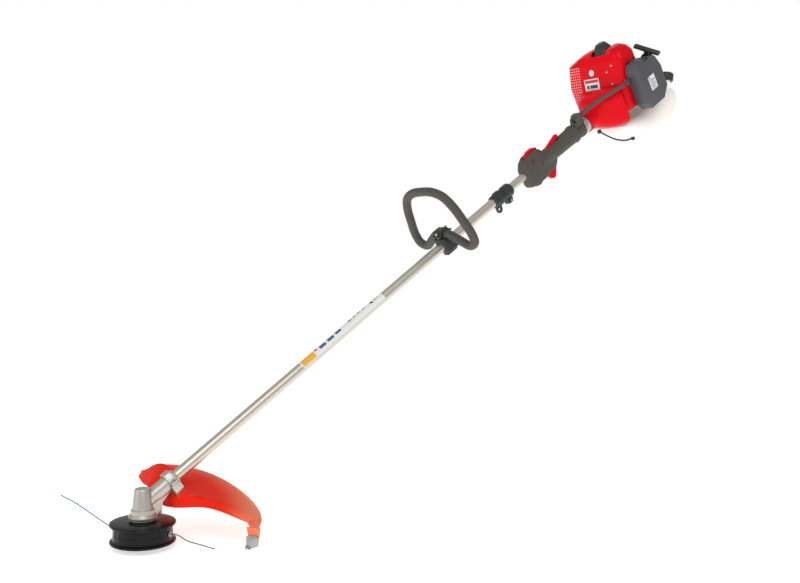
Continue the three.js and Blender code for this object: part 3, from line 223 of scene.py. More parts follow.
def box(name, x0, x1, y0, y1, z0, z1, space=ROW):
    verts = [(x, y, z) for x in (x0, x1) for y in (y0, y1) for z in (z0, z1)]
    faces = [(0, 1, 3, 2), (4, 6, 7, 5), (0, 4, 5, 1), (2, 3, 7, 6), (0, 2, 6, 4), (1, 5, 7, 3)]
    return new_object(name, verts, faces, space)


def prism(name, outline, y0, y1, space=ROW, axis="y"):
    """Outline in (x, z), or (y, z) for axis x, pushed out along the axis."""
    put = (lambda a, h, b: (a, h, b)) if axis == "y" else (lambda a, h, b: (h, a, b))
    verts = [put(a, h, b) for h in (y0, y1) for a, b in outline]
    n = len(outline)
    faces = [tuple(range(n)), tuple(range(n, 2 * n))] + [(i, (i + 1) % n, n + (i + 1) % n, n + i)
                                                         for i in range(n)]
    return new_object(name, verts, faces, space)


BODY_OF = {node: body for body, nodes in frame["record"]["behaviour"]["bodies"].items() for node in nodes}


def place(piece, look, slot, *nodes, body=None):
    """Gives a piece its material and body, and lets it stand for the CAD nodes named."""
    piece.data.materials.clear()
    piece.data.materials.append(look)
    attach(piece, body or BODY_OF[nodes[0]])
    if nodes:
        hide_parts(*nodes)
    return piece


def refined(node, width, look, slot, degrees=35, smooth=40, segments=3):
    """Copy of a CAD node with clean faces and rounded edges."""
    source = frame["nodes"][node]
    mesh = source.data.copy()
    bm = bmesh.new()
    bm.from_mesh(mesh)
    bmesh.ops.remove_doubles(bm, verts=bm.verts, dist=2e-6)
    bmesh.ops.dissolve_limit(bm, angle_limit=math.radians(1.5), verts=bm.verts, edges=bm.edges)
    bmesh.ops.recalc_face_normals(bm, faces=bm.faces)
    bm.to_mesh(mesh)
    bm.free()
    piece = bpy.data.objects.new(node + ".fine", mesh)
    bpy.context.scene.collection.objects.link(piece)
    bevelled(piece, width, segments, degrees)
    return place(shade(piece, smooth), look, slot, node)


# ---- Materials -----------------------------------------------------------------------

def group_tree(name, inputs, outputs):
    tree = bpy.data.node_groups.new(name, "ShaderNodeTree")
    for label, kind, value in inputs:
        socket = tree.interface.new_socket(label, in_out="INPUT", socket_type=kind)
        socket.default_value = value
    for label, kind in outputs:
        tree.interface.new_socket(label, in_out="OUTPUT", socket_type=kind)
    return tree, tree.nodes.new("NodeGroupInput"), tree.nodes.new("NodeGroupOutput")


FLOAT, COLOR = "NodeSocketFloat", "NodeSocketColor"


def math_node(tree, operation, a, b):
    node = tree.nodes.new("ShaderNodeMath")
    node.operation = operation
    for socket, value in zip(node.inputs, (a, b)):
        if isinstance(value, (int, float)):
            socket.default_value = value
        else:
            tree.links.new(value, socket)
    return node.outputs[0]


def noise_node(tree, vector, scale, detail=3.0, rough=0.55):
    node = tree.nodes.new("ShaderNodeTexNoise")
    node.inputs["Detail"].default_value = detail
    node.inputs["Roughness"].default_value = rough
    tree.links.new(vector, node.inputs["Vector"])
    if isinstance(scale, (int, float)):
        node.inputs["Scale"].default_value = scale
    else:
        tree.links.new(scale, node.inputs["Scale"])
    return node.outputs["Fac"]


def mix_color(tree, factor, a, b):
    node = tree.nodes.new("ShaderNodeMix")
    node.data_type = "RGBA"
    tree.links.new(factor, node.inputs["Factor"])
    tree.links.new(a, node.inputs["A"])
    tree.links.new(b, node.inputs["B"])
    return node.outputs["Result"]


def surface_group(name, stretch=(1, 1, 1), cells=0.0):
    """Colour drift, grain and edge wear, read from Object coordinates."""
    tree, inn, out = group_tree(name, [
        ("Base", COLOR, (0.5, 0.5, 0.5, 1)), ("Drift", COLOR, (0.4, 0.4, 0.4, 1)),
        ("Worn", COLOR, (0.6, 0.6, 0.6, 1)),
        ("Drift Scale", FLOAT, 12.0), ("Grain Scale", FLOAT, 900.0), ("Roughness", FLOAT, 0.4),
        ("Roughness Drift", FLOAT, 0.15), ("Wear", FLOAT, 0.3),
    ], [("Color", COLOR), ("Roughness", FLOAT), ("Height", FLOAT)])
    coordinates = tree.nodes.new("ShaderNodeTexCoord").outputs["Object"]
    stretched = tree.nodes.new("ShaderNodeMapping")
    stretched.inputs["Rotation"].default_value = (0, RISE, 0)
    stretched.inputs["Scale"].default_value = stretch
    tree.links.new(coordinates, stretched.inputs["Vector"])
    vector = stretched.outputs["Vector"]
    drift = noise_node(tree, coordinates, inn.outputs["Drift Scale"], 4.0)
    grain = noise_node(tree, vector, inn.outputs["Grain Scale"], 2.0)
    if cells:
        voronoi = tree.nodes.new("ShaderNodeTexVoronoi")
        voronoi.inputs["Scale"].default_value = cells
        tree.links.new(vector, voronoi.inputs["Vector"])
        grain = math_node(tree, "MULTIPLY_ADD", voronoi.outputs["Distance"], 0.8)
        tree.links.new(noise_node(tree, vector, cells * 1.7, 2.0), grain.node.inputs[2])
    edges = tree.nodes.new("ShaderNodeNewGeometry").outputs["Pointiness"]
    raised = tree.nodes.new("ShaderNodeMapRange")
    raised.inputs["From Min"].default_value = 0.53
    raised.inputs["From Max"].default_value = 0.62
    tree.links.new(edges, raised.inputs["Value"])
    broken = noise_node(tree, coordinates, 160.0, 4.0, 0.7)
    worn = math_node(tree, "MULTIPLY", math_node(tree, "MULTIPLY", raised.outputs["Result"], broken),
                     inn.outputs["Wear"])
    color = mix_color(tree, drift, inn.outputs["Base"], inn.outputs["Drift"])
    color = mix_color(tree, worn, color, inn.outputs["Worn"])
    tree.links.new(color, out.inputs["Color"])
    spread = math_node(tree, "MULTIPLY", math_node(tree, "SUBTRACT", drift, 0.5),
                       inn.outputs["Roughness Drift"])
    scuffed = math_node(tree, "ADD", spread, math_node(tree, "MULTIPLY", worn, 0.3))
    tree.links.new(math_node(tree, "ADD", scuffed, inn.outputs["Roughness"]), out.inputs["Roughness"])
    tree.links.new(grain, out.inputs["Height"])
    return tree


GROUPS = {
    "moulded": surface_group("moulded_plastic"),
    "pebbled": surface_group("pebbled_plastic", cells=1500.0),
    "drawn": surface_group("drawn_metal", stretch=(0.02, 1, 1)),
    "cast": surface_group("cast_metal", cells=1100.0),
}


def material(name, group, base, drift, worn, rough, spread=0.12, wear=0.3, metallic=0.0, coat=0.0,
             bump=0.15, scale=12.0,
             grain=900.0, depth=0.0002, extra=None):
    mat = bpy.data.materials.new(name)
    mat.use_nodes = True
    tree = mat.node_tree
    shader = tree.nodes["Principled BSDF"]
    node = tree.nodes.new("ShaderNodeGroup")
    node.node_tree = GROUPS[group]
    for label, value in (("Base", (*base, 1)), ("Drift", (*drift, 1)), ("Worn", (*worn, 1)),
                         ("Drift Scale", scale),
                         ("Grain Scale", grain), ("Roughness", rough), ("Roughness Drift", spread),
                         ("Wear", wear)):
        node.inputs[label].default_value = value
    tree.links.new(node.outputs["Color"], shader.inputs["Base Color"])
    tree.links.new(node.outputs["Roughness"], shader.inputs["Roughness"])
    lift = tree.nodes.new("ShaderNodeBump")
    lift.inputs["Strength"].default_value = bump
    lift.inputs["Distance"].default_value = depth
    tree.links.new(node.outputs["Height"], lift.inputs["Height"])
    tree.links.new(lift.outputs["Normal"], shader.inputs["Normal"])
    shader.inputs["Metallic"].default_value = metallic
    shader.inputs["Coat Weight"].default_value = coat
    shader.inputs["Coat Roughness"].default_value = 0.08
    for key, value in (extra or {}).items():
        shader.inputs[key].default_value = value
    return mat


LOOK = {
    "red": material("glossy_red", "moulded", (0.78, 0.0015, 0.009), (0.66, 0.001, 0.007),
                    (0.80, 0.10, 0.08), 0.28, coat=0.06, bump=0.05,
                    extra={"Specular IOR Level": 0.08}),
    "orange": material("guard_orange", "moulded", (0.90, 0.030, 0.010), (0.84, 0.022, 0.008),
                       (0.95, 0.25, 0.12), 0.42,
                       bump=0.06, wear=0.45, extra={"Specular IOR Level": 0.05}),
    "grip": material("grip_rubber", "pebbled", (0.075, 0.066, 0.055), (0.058, 0.052, 0.044),
                     (0.15, 0.135, 0.11), 0.56, bump=0.5, depth=0.0003),
    "slate": material("slate_plastic", "pebbled", (0.072, 0.078, 0.088), (0.06, 0.065, 0.075),
                      (0.16, 0.165, 0.18), 0.42, bump=0.22),
    "olive": material("olive_black", "moulded", (0.034, 0.029, 0.018), (0.026, 0.022, 0.014),
                      (0.11, 0.10, 0.07), 0.40, bump=0.12),
    "black": material("gloss_black", "moulded", (0.007, 0.007, 0.008), (0.011, 0.011, 0.012),
                      (0.06, 0.06, 0.06), 0.24, coat=0.07, bump=0.06,
                      extra={"Specular IOR Level": 0.12}),
    "clamp": material("clamp_black", "pebbled", (0.016, 0.021, 0.018), (0.011, 0.014, 0.012),
                      (0.10, 0.11, 0.10), 0.46, bump=0.3, wear=0.6),
    # tank: the emission paints a glow onto the milky plastic, brightening it beyond what the lamps give
    "tank": material("milk_tank_painted_glow", "moulded", (0.93, 0.88, 0.84), (0.90, 0.82, 0.77), (0.95, 0.93, 0.90),
                     0.38, bump=0.08,
                     extra={"Emission Color": (1.0, 0.90, 0.84, 1), "Emission Strength": 0.11,
                            "Specular IOR Level": 0.3}),
    "alloy": material("drawn_alloy", "drawn", (0.66, 0.61, 0.53), (0.60, 0.55, 0.47), (0.80, 0.77, 0.70),
                      0.36, metallic=1.0,
                      spread=0.04, bump=0.06, grain=700.0, scale=5.0),
    "cast": material("cast_alloy", "cast", (0.60, 0.57, 0.51), (0.50, 0.47, 0.42), (0.80, 0.78, 0.73), 0.40,
                     metallic=1.0, bump=0.25, wear=0.7),
    "steel": material("plated_steel", "drawn", (0.42, 0.42, 0.42), (0.34, 0.34, 0.34), (0.62, 0.62, 0.61),
                      0.30, metallic=1.0, bump=0.2),
    "castdark": material("hot_black", "cast", (0.030, 0.030, 0.030), (0.045, 0.040, 0.036),
                         (0.14, 0.13, 0.12), 0.55, metallic=0.4, bump=0.35),
    "green": material("line_green", "moulded", (0.020, 0.30, 0.12), (0.015, 0.25, 0.10), (0.09, 0.38, 0.2),
                      0.5, bump=0.2, extra={"Specular IOR Level": 0.15}),
    "bush": material("oiled_bush", "moulded", (0.14, 0.07, 0.025), (0.10, 0.05, 0.02), (0.2, 0.12, 0.06),
                     0.5, bump=0.1),
}


def painted_rim_highlight(mat, near, far, colour):
    """Painted highlight: fades a material's colour towards a lighter tint with the distance from the head's
    axis.
    """
    tree = mat.node_tree
    socket = tree.nodes["Principled BSDF"].inputs["Base Color"]
    flat = tree.nodes.new("ShaderNodeVectorMath")
    flat.operation = "MULTIPLY"
    flat.inputs[1].default_value = (1, 1, 0)
    tree.links.new(tree.nodes.new("ShaderNodeTexCoord").outputs["Object"], flat.inputs[0])
    size = tree.nodes.new("ShaderNodeVectorMath")
    size.operation = "LENGTH"
    tree.links.new(flat.outputs["Vector"], size.inputs[0])
    fade = tree.nodes.new("ShaderNodeMapRange")
    fade.interpolation_type = "SMOOTHSTEP"
    for label, value in (("From Min", near), ("From Max", far), ("To Max", 0.75)):
        fade.inputs[label].default_value = value
    tree.links.new(size.outputs["Value"], fade.inputs["Value"])
    # the lighter colour of the painted highlight
    highlight_tint = tree.nodes.new("ShaderNodeRGB")
    highlight_tint.outputs[0].default_value = (*colour, 1)
    tree.links.new(mix_color(tree, fade.outputs["Result"], socket.links[0].from_socket, highlight_tint.outputs[0]),
                   socket)


# painted highlight: the guard's outer band is lightened towards its rim
painted_rim_highlight(LOOK["orange"], 0.150, 0.225, (0.93, 0.30, 0.15))
for part in frame["record"]["subparts"]:
    node = frame["nodes"].get(part["node"])
    if node is not None:
        node.data.materials.clear()
        node.data.materials.append(LOOK[part["material_slot"]])


# ---- Trimmer line, the two cords -------------------------------------------------------

LINE_R = 1.15
LINES = {
    "trimmer_line_left": [(-33.2, 42.5, 29), (-41, 52.4, 30.5), (-50, 70, 38), (-66, 102, 52),
                          (-84, 143, 68), (-103, 182, 80)],
    "trimmer_line_right": [(33.2, -42.5, 29), (41, -52.4, 30.5), (42, -78, 33), (40, -122, 34),
                           (49, -163, 35), (57, -201, 36)],
}
for line_name, route in LINES.items():
    centre = centripetal(route, 32)
    piece = tube(line_name + ".strand", centre, LINE_R, 12)
    place(shade(piece), LOOK["green"], "green", line_name)


# ---- Floor and light ---------------------------------------------------------------------

def studio():
    floor = box("floor", -30000, 30000, -30000, 30000, -4, -1)
    mat = bpy.data.materials.new("floor_white")
    mat.use_nodes = True
    shader = mat.node_tree.nodes["Principled BSDF"]
    shader.inputs["Base Color"].default_value = (0.93, 0.93, 0.93, 1)
    shader.inputs["Roughness"].default_value = 0.85
    shader.inputs["Emission Color"].default_value = (1, 1, 1, 1)
    shader.inputs["Emission Strength"].default_value = 0.62
    floor.data.materials.append(mat)
    world = bpy.data.worlds.new("soft_room")
    world.use_nodes = True
    tree = world.node_tree
    lit = tree.nodes["Background"]
    lit.inputs["Color"].default_value = (1, 1, 1, 1)
    lit.inputs["Strength"].default_value = 0.52
    seen = tree.nodes.new("ShaderNodeBackground")
    seen.inputs["Color"].default_value = (1, 1, 1, 1)
    seen.inputs["Strength"].default_value = 1.0
    mix = tree.nodes.new("ShaderNodeMixShader")
    tree.links.new(tree.nodes.new("ShaderNodeLightPath").outputs["Is Camera Ray"], mix.inputs["Fac"])
    tree.links.new(lit.outputs["Background"], mix.inputs[1])
    tree.links.new(seen.outputs["Background"], mix.inputs[2])
    tree.links.new(mix.outputs["Shader"], tree.nodes["World Output"].inputs["Surface"])
    bpy.context.scene.world = world
    target = Vector((0.6, 0, 0.5))
    for name, at, size, power in (("key", (-1.2, -2.6, 3.4), 2.4, 46), ("fill", (-2.6, 0.6, 1.6), 2.2, 12),
                                  ("back", (2.8, 2.4, 2.8), 2.0, 6)):
        data = bpy.data.lights.new(name, "AREA")
        data.size = size
        data.energy = power
        lamp = bpy.data.objects.new(name, data)
        lamp.location = at
        lamp.rotation_euler = (target - Vector(at)).to_track_quat("-Z", "Y").to_euler()
        bpy.context.scene.collection.objects.link(lamp)
    bpy.context.scene.view_settings.view_transform = "Standard"


studio()


# ---- Line head and gear case ---------------------------------------------------------------

def revolve_z(name, profile, segments=96):
    return lathe(name, profile, segments, ROW, "Z")


def line_head():
    wall = [(21.8, 3), (40, 4.3), (58, 8.6), (63, 9.8), (64.6, 10.8), (65, 12.2), (64.7, 13.8),
            (63.6, 14.8), (60.2, 15.6),
            (58.8, 16.6), (58.5, 18), (58.5, 28.6), (58.2, 29), (55.3, 29), (55.3, 15), (40, 8),
            (21.8, 6.5), (21.8, 3)]
    base = fluted_drum(revolve_z("head_base.fine", wall, 192), 18, 28)
    place(shade(base, 30), LOOK["black"], "black", "head_base")
    top = [(5.3, 53), (26, 53), (26.6, 52.6), (30, 52), (44, 51.8), (60, 51), (64.2, 49.6), (65, 48.4),
           (65, 46.4), (64.2, 45),
           (60.4, 43.6), (58.8, 42.4), (58.5, 41), (58.5, 29.8), (58.2, 29.3), (55.3, 29.3), (55.3, 47.5),
           (14, 47.5), (14, 26),
           (5.3, 26), (5.3, 53)]
    cover = fluted_drum(revolve_z("head_cover.fine", top, 192), 30, 41)
    place(shade(cover, 30), LOOK["black"], "black", "head_cover")
    knob = [(0, 0), (14, 0), (15.5, 0.3), (20, 1.6), (21, 4), (21, 16.7), (0, 16.7)]
    place(shade(revolve_z("bump_knob.fine", knob, 64), 30), LOOK["black"], "black", "bump_knob")
    flange = [(5.3, 53.3), (22, 53.3), (25, 54.4), (25, 56), (18, 57), (5.3, 57), (5.3, 53.3)]
    place(shade(revolve_z("blade_flange.fine", flange, 64), 30), LOOK["cast"], "cast", "blade_flange")


def fluted_drum(piece, z0, z1):
    """Shallow flutes pressed into the drum's wall between two heights."""
    for v in piece.data.vertices:
        x, y, z = (c / MM for c in v.co)
        r = math.hypot(x, y)
        if 57.5 < r < 59 and z0 - 0.6 < z < z1 + 0.6:
            angle = math.degrees(math.atan2(y, x)) - 143
            dip = max(0.0, 1 - abs((angle + 22.5) % 45 - 22.5) / 4.6)
            k = (r - 1.2 * dip ** 0.6) / r
            v.co.x *= k
            v.co.y *= k
    return piece


line_head()
refined("gear_case", 1.0, LOOK["cast"], "cast", 32, 42)
for node, width, look in (("line_eyelet_left", 0.3, "steel"), ("line_eyelet_right", 0.3, "steel"),
                          ("line_cutter", 0.25, "steel"),
                          ("guard_bracket", 0.8, "cast"), ("guard_strap", 0.6, "cast"),
                          ("guard_bolt_left", 0.4, "steel"),
                          ("guard_bolt_right", 0.4, "steel")):
    refined(node, width, LOOK[look], look, 30, 35)


# ---- Guard ---------------------------------------------------------------------------------

def guard():
    """Curved deflector sheet with its bowl, shoulder and rolled rim, on the same guide curves as its solid."""
    def polar(angles, radii, heights):
        return [(r * math.cos(math.radians(a)), r * math.sin(math.radians(a)), z) for a, r,
                z in zip(angles, radii, heights)]
    rim = polar((68, 52, 32, 8, -12, -30, -44), (235,) * 7, (90, 99, 96, 73, 55, 47, 41))
    shoulder = polar((69, 52, 32, 8, -12, -30, -43), (212, 205, 200, 200, 204, 210, 216),
                     (104, 118, 112, 96, 80, 66, 54))
    bowl = [(72, 172, 106), (108, 138, 121), (128, 78, 116), (134, 18, 99), (150, -34, 85), (168, -92, 74),
            (172, -140, 60)]
    ridge = [(62, 153, 112), (76, 98, 138), (92, 58, 130), (80, 18, 101), (90, -14, 95), (134, -62, 80),
             (168, -142, 58)]
    wall_top = [(57, 152, 110), (64, 98, 130), (56, 52, 122), (58, 24, 105), (66, -10, 103), (122, -44, 79),
                (167, -143, 57)]
    front = [(52, 151, 103), (38, 93, 103), (32, 42, 103), (48, 26, 73), (60, -12, 71), (118, -44, 68),
             (164, -144, 51)]
    spans = 96
    rows = [centripetal(curve, spans) for curve in (front, wall_top, ridge, bowl, shoulder, rim)]
    across = 30
    grid = []
    for i in range(spans + 1):
        line = centripetal([row[i] for row in rows], across)
        grid.append([line[j] for j in range(across + 1)])
    verts = [p for line in grid for p in line]
    w = across + 1
    faces = [(i * w + j, i * w + j + 1, (i + 1) * w + j + 1, (i + 1) * w + j) for i in range(spans)
             for j in range(across)]
    sheet = bpy.data.meshes.new("guard_sheet")
    sheet.from_pydata([Vector(v) * MM for v in verts], [], faces)
    piece = bpy.data.objects.new("guard_sheet", sheet)
    bpy.context.scene.collection.objects.link(piece)
    up = sum((p.normal.z for p in sheet.polygons)) > 0
    with_modifiers(piece, ("SOLIDIFY",
                           {"thickness": 2.8 * MM, "offset": -1.0 if up else 1.0, "use_rim": True}),
                   ("BEVEL", {"width": 0.7 * MM, "segments": 2, "limit_method": "ANGLE",
                              "angle_limit": math.radians(50)}))
    neck = lathe("neck_room", [(0, -20), (19.2, -20), (19.2, 130), (0, 130)], 48, SHAFT, "X")
    room = box("bracket_room", 59.4, 80.6, -29, 29, -27.3, 0, SHAFT)
    column = box("column_room", -5, 42, -13, 13, 40, 116)
    cut(piece, neck, room, column)
    return piece


guard_piece = guard()
pad = box("guard_pad", 57, 83, -19, 19, -35, -27.3, SHAFT)
bevelled(pad, 1.5)
lug_frame = (Matrix.Translation((226 * MM * math.cos(math.radians(-45)),
                                 226 * MM * math.sin(math.radians(-45)), 0))
             @ Matrix.Rotation(math.radians(-51), 4, "Z"))
lug = prism("guard_lug", [(-9, 19), (-5, 15), (7, 15), (11, 19), (14, 48), (-14, 48)], 1.3, 6, lug_frame)
bevelled(lug, 1.0)
ribs = []
for k in range(3):
    rib = prism("guard_rib_%d" % k, [(-6 + 6 * k, 20), (-4.4 + 6 * k, 20), (-4.4 + 6 * k, 52),
                                     (-6 + 6 * k, 52)], 6.1, 9, lug_frame)
    bevelled(rib, 0.4)
    ribs.append(rib)
place(shade(guard_piece, 40), LOOK["orange"], "orange", "guard_shell")
for extra in (pad, lug, *ribs):
    place(shade(extra, 35), LOOK["orange"], "orange", body="machine")


# ---- Tubes, loop handle and clamps -----------------------------------------------------------

lower = lathe("lower_tube.fine", [(10.5, 46), (11.6, 46), (12, 46.4), (12, 1139.6), (11.6, 1140),
                                  (10.5, 1140), (10.5, 46)], 64, SHAFT, "X")
place(shade(lower, 30), LOOK["alloy"], "alloy", "lower_tube")
upper = lathe("upper_tube.fine", [(9.5, 1095), (10.2, 1095), (10.2, 1140.3), (11, 1140.3), (11, 1549),
                                  (9.5, 1549), (9.5, 1095)], 64, SHAFT, "X")
place(shade(upper, 30), LOOK["alloy"], "alloy", "upper_tube")

half = [(22, 24.5), (50, 9), (82, -9), (103, 1), (107, 27), (99, 62), (88, 98), (69, 128), (38, 143)]
other_half = [(948, -y, z) for y, z in reversed(half)]
loop_line = centripetal([(948, 0, 25.5)] + [(948, y, z) for y, z in half] + [(948, 0, 146)] + other_half,
                        180, closed=True)
loop_piece = tube("loop_handle.fine", loop_line, 10.9, 28, SHAFT, closed=True)
noise.seed_set(5)
for v in loop_piece.data.vertices:
    place_in = SHAFT.inverted() @ v.co / MM
    if abs(place_in.y) > 40 or place_in.z > 60:
        v.co += Vector(noise.noise_vector(v.co * 60)) * 0.00018
place(shade(loop_piece), LOOK["grip"], "grip", "loop_handle")
for node, width, look in (("loop_clamp_base", 1.2, "clamp"), ("loop_clamp_cap", 1.0, "clamp"),
                          ("loop_clamp_bolt_front", 0.5, "steel"),
                          ("loop_clamp_bolt_rear", 0.5, "steel"), ("harness_clamp", 0.8, "clamp"),
                          ("harness_bolt", 0.5, "steel")):
    refined(node, width, LOOK[look], look, 32, 40)


# ---- Throttle handle -------------------------------------------------------------------------

for node, width, look in (("handle_shell_left", 1.6, "grip"), ("handle_shell_right", 1.6, "grip"),
                          ("throttle_trigger", 0.8, "red"),
                          ("throttle_lockout", 0.8, "red"), ("stop_switch", 0.8, "red"),
                          ("damper_ring", 0.5, "cast")):
    refined(node, width, LOOK[look], look, 30, 44)
conduit_line = centripetal([(1500, -14, 33), (1530, -19, 39), (1566, -40, 46), (1606, -70, 52),
                            (1640, -91, 56), (1665, -95, 56)], 60)
place(shade(tube("throttle_conduit.fine", conduit_line, 5.7, 20, SHAFT)), LOOK["grip"], "grip",
      "throttle_conduit")


# ---- Engine cover and fan housing ------------------------------------------------------------

COVER_FOOT = -26
COVER_TOP = 144
COVER_WALL = 2.6
FILTER_WINDOW = (1692, 1738, -110, -70, 4, 96)
PLUG_BAY = (1685, 1748, -35, 18, 117, 170)
SKIN_IN = 0.25  # how far a visible face lies inside its solid's
COVER = [(COVER_FOOT, 1642, 1752, -76, 96, 30), (0, 1642, 1752, -83, 110, 28),
         (60, 1652, 1752, -85, 116, 26), (116, 1674, 1752, -84, 112, 24),
         (134, 1684, 1744, -76, 72, 22), (COVER_TOP, 1694, 1734, -60, 34, 18)]


def blend_levels(levels, z):
    """Sizes of the cover at one height, straight between the named levels."""
    for low, high in zip(levels, levels[1:]):
        if z <= high[0]:
            t = (z - low[0]) / (high[0] - low[0])
            return [a + (b - a) * t for a, b in zip(low[1:], high[1:])]
    return list(levels[-1][1:])


def cover_ring(z, inset=0.0, level=None):
    x0, x1, y0, y1, r = blend_levels(COVER, z)
    return [(x, y, z if level is None else level)
            for x, y in rounded_rect(x0 + inset, x1 - inset, y0 + inset, y1 - inset, r, 8)]


def engine_cover():
    """Red shroud lofted through its levels, hollow and open at the foot."""
    heights = [COVER_FOOT, -20, -10, 0, 20, 40, 56, 60, 64, 80, 100, 112, 116, 119, 126, 132, 134, 136, 140,
               143.2]
    outer = [cover_ring(z, SKIN_IN) for z in heights] + [cover_ring(COVER_TOP, 1.4, COVER_TOP)]
    shell = skin("engine_cover.fine", outer, SHAFT)
    hollow = skin("cover_hollow", [cover_ring(max(z, COVER_FOOT), COVER_WALL, z)
                                   for z in [-60] + heights[1:-1]]
                  + [cover_ring(143, 4, 141.4)], SHAFT)
    tools = [hollow, box("window", *FILTER_WINDOW, SHAFT), box("bay", *PLUG_BAY, SHAFT),
             lathe("front_room", [(0, 1600), (50, 1600), (50, 1678), (0, 1678)], 48, SHAFT, "X"),
             lathe("rear_room", [(0, 1732), (40, 1732), (40, 1772), (0, 1772)], 48, SHAFT, "X")]
    cut(shell, *tools)
    bevelled(shell, 0.8, 2, 48)
    return place(shade(shell, 34), LOOK["red"], "red", "engine_cover")


engine_cover()


HOUSING_IN = 0.2


def fan_housing():
    """Flared housing between the damper ring and the cover."""
    h = 82
    outer_levels = [(1546, -27, 27, -27, 27, 40), (1574, -29, 29, -29, 29, 40),
                    (1588, 40 - h, h - 42, -36, 38, 38),
                    (1600, 24 - h, h - 28, -44, 50, 40), (1616, 10 - h, h - 18, -52, 54, 36),
                    (1636, -h, h - 10, -56, 57, 30)]

    def ring(level):
        x, y0, y1, z0, z1, r = level
        outline = rounded_rect(y0 + HOUSING_IN, y1 - HOUSING_IN, z0 + HOUSING_IN, z1 - HOUSING_IN, r, 10)
        return [(x, y, z) for y, z in outline]

    def smooth(levels, count):
        flat = [Vector((l[0], l[1], l[2])) for l in levels], [Vector((l[3], l[4], l[5])) for l in levels]
        a, b = (centripetal(p, count) for p in flat)
        return [(*p, *q) for p, q in zip(a, b)]

    rings = [ring(l) for l in smooth(outer_levels, 40)]
    shell = skin("clutch_housing.fine", rings, SHAFT)
    inner = [(1550, -25.5, 25.5, -25.5, 25.5, 40), (1584, -26, 26, -26, 26, 40), (1592, -36, 34, -33, 36, 34),
             (1600, -52, 48, -41, 46, 40), (1616, -69, 61, -49, 51, 36), (1641, -79, 69, -53, 54, 30)]
    hollow = skin("housing_hollow", [ring(l) for l in inner], SHAFT)
    mouth = lathe("housing_mouth", [(0, 1540), (14, 1540), (14, 1557), (0, 1557)], 48, SHAFT, "X")
    cut(shell, hollow, mouth)
    bevelled(shell, 0.7, 2, 50)
    place(shade(shell, 34), LOOK["red"], "red", "clutch_housing")


fan_housing()


def plug_boot():
    """Rubber boot over the spark plug, broad at its foot and grooved on the near side."""
    levels = [(117.4, 1688, 1735, -32.5, 15, 9), (126, 1688, 1737, -32.5, 16, 10),
              (136, 1692, 1738, -29, 16, 11),
              (146, 1698, 1738, -21, 16, 12), (154, 1704, 1737, -13, 14, 11),
              (157.4, 1709, 1734, -9, 10.5, 8)]
    rings = [[(x, y, z) for x, y in rounded_rect(x0, x1, y0, y1, r, 8)] for z, x0, x1, y0, y1, r in levels]
    boot = skin("plug_cap.fine", rings, SHAFT)
    for k in range(3):
        cut(boot, box("boot_groove", 1700 + 11 * k, 1701.6 + 11 * k, -36, -27.5 + k, 121, 150, SHAFT))
    bevelled(boot, 0.7, 2, 30)
    place(shade(boot, 34), LOOK["olive"], "olive", "plug_cap")


plug_boot()
for node, width, look, angle in (("silencer", 2.0, "castdark", 60), ("carburettor", 1.0, "cast", 35),
                                 ("air_filter_cover", 1.6, "slate", 50), ("choke_lever", 0.6, "olive", 35),
                                 ("primer_bulb", 0.4, "tank", 40),
                                 ("starter_housing", 1.0, "black", 42), ("starter_handle", 0.9, "olive", 42),
                                 ("support_foot", 0.4, "olive", 40), ("cylinder", 0.5, "castdark", 40),
                                 ("crankcase", 1.0, "cast", 40),
                                 ("fuel_cap", 1.0, "olive", 30)):
    refined(node, width, LOOK[look], look, 30, angle)


# ---- Fuel tank -------------------------------------------------------------------------------

def fuel_tank():
    """Blown tank under the engine, rounder at both ends."""
    w, top, low = 76, -62, -142
    levels = [(1634, 32 - w, w - 32, top - 16, top, 12), (1652, 12 - w, w - 14, top - 36, top, 18),
              (1690, 2 - w, w - 4, low + 18, top, 28),
              (1750, -w, w, low + 4, top - 2, 34), (1800, -w, w, low, top - 2, 34),
              (1850, 6 - w, w - 4, low + 14, top, 34),
              (1880, 20 - w, w - 20, low + 38, top - 6, 20)]
    a = centripetal([(l[0], l[1], l[2]) for l in levels], 60)
    b = centripetal([(l[3], l[4], l[5]) for l in levels], 60)
    rings = [[(p.x, y, z) for y, z in rounded_rect(p.y + 0.3, p.z - 0.3, q.x + 0.3, min(q.y, top) - 0.3,
                                                   q.z, 10)] for p, q in zip(a, b)]
    ends = []
    for ring in (rings[0], rings[-1]):
        cy = sum(p[1] for p in ring) / len(ring)
        cz = sum(p[2] for p in ring) / len(ring)
        ends.append([(ring[0][0], cy + (p[1] - cy) * 0.9, cz + (p[2] - cz) * 0.9) for p in ring])
    body = skin("fuel_tank.fine", [ends[0]] + [[(x + 1.2, y, z) for x, y, z in rings[0]]] + rings[1:-1]
                + [[(x - 1.2, y, z) for x, y, z in rings[-1]]] + [ends[1]], SHAFT)
    return body


FILLER = SHAFT @ Matrix.Translation((1868 * MM, -36 * MM, -66 * MM)) @ Matrix.Rotation(math.radians(44), 4,
    "Y")
tank_body = fuel_tank()
place(shade(tank_body, 40), LOOK["tank"], "tank", "fuel_tank")
neck = lathe("filler_neck", [(0, -18), (12.6, -18), (12.6, 19), (13, 20), (13, 22), (0, 22)], 48, FILLER)
place(shade(neck, 30), LOOK["tank"], "tank", body="machine")


# ---- Screws and perforations, laid out by Geometry Nodes -------------------------------------

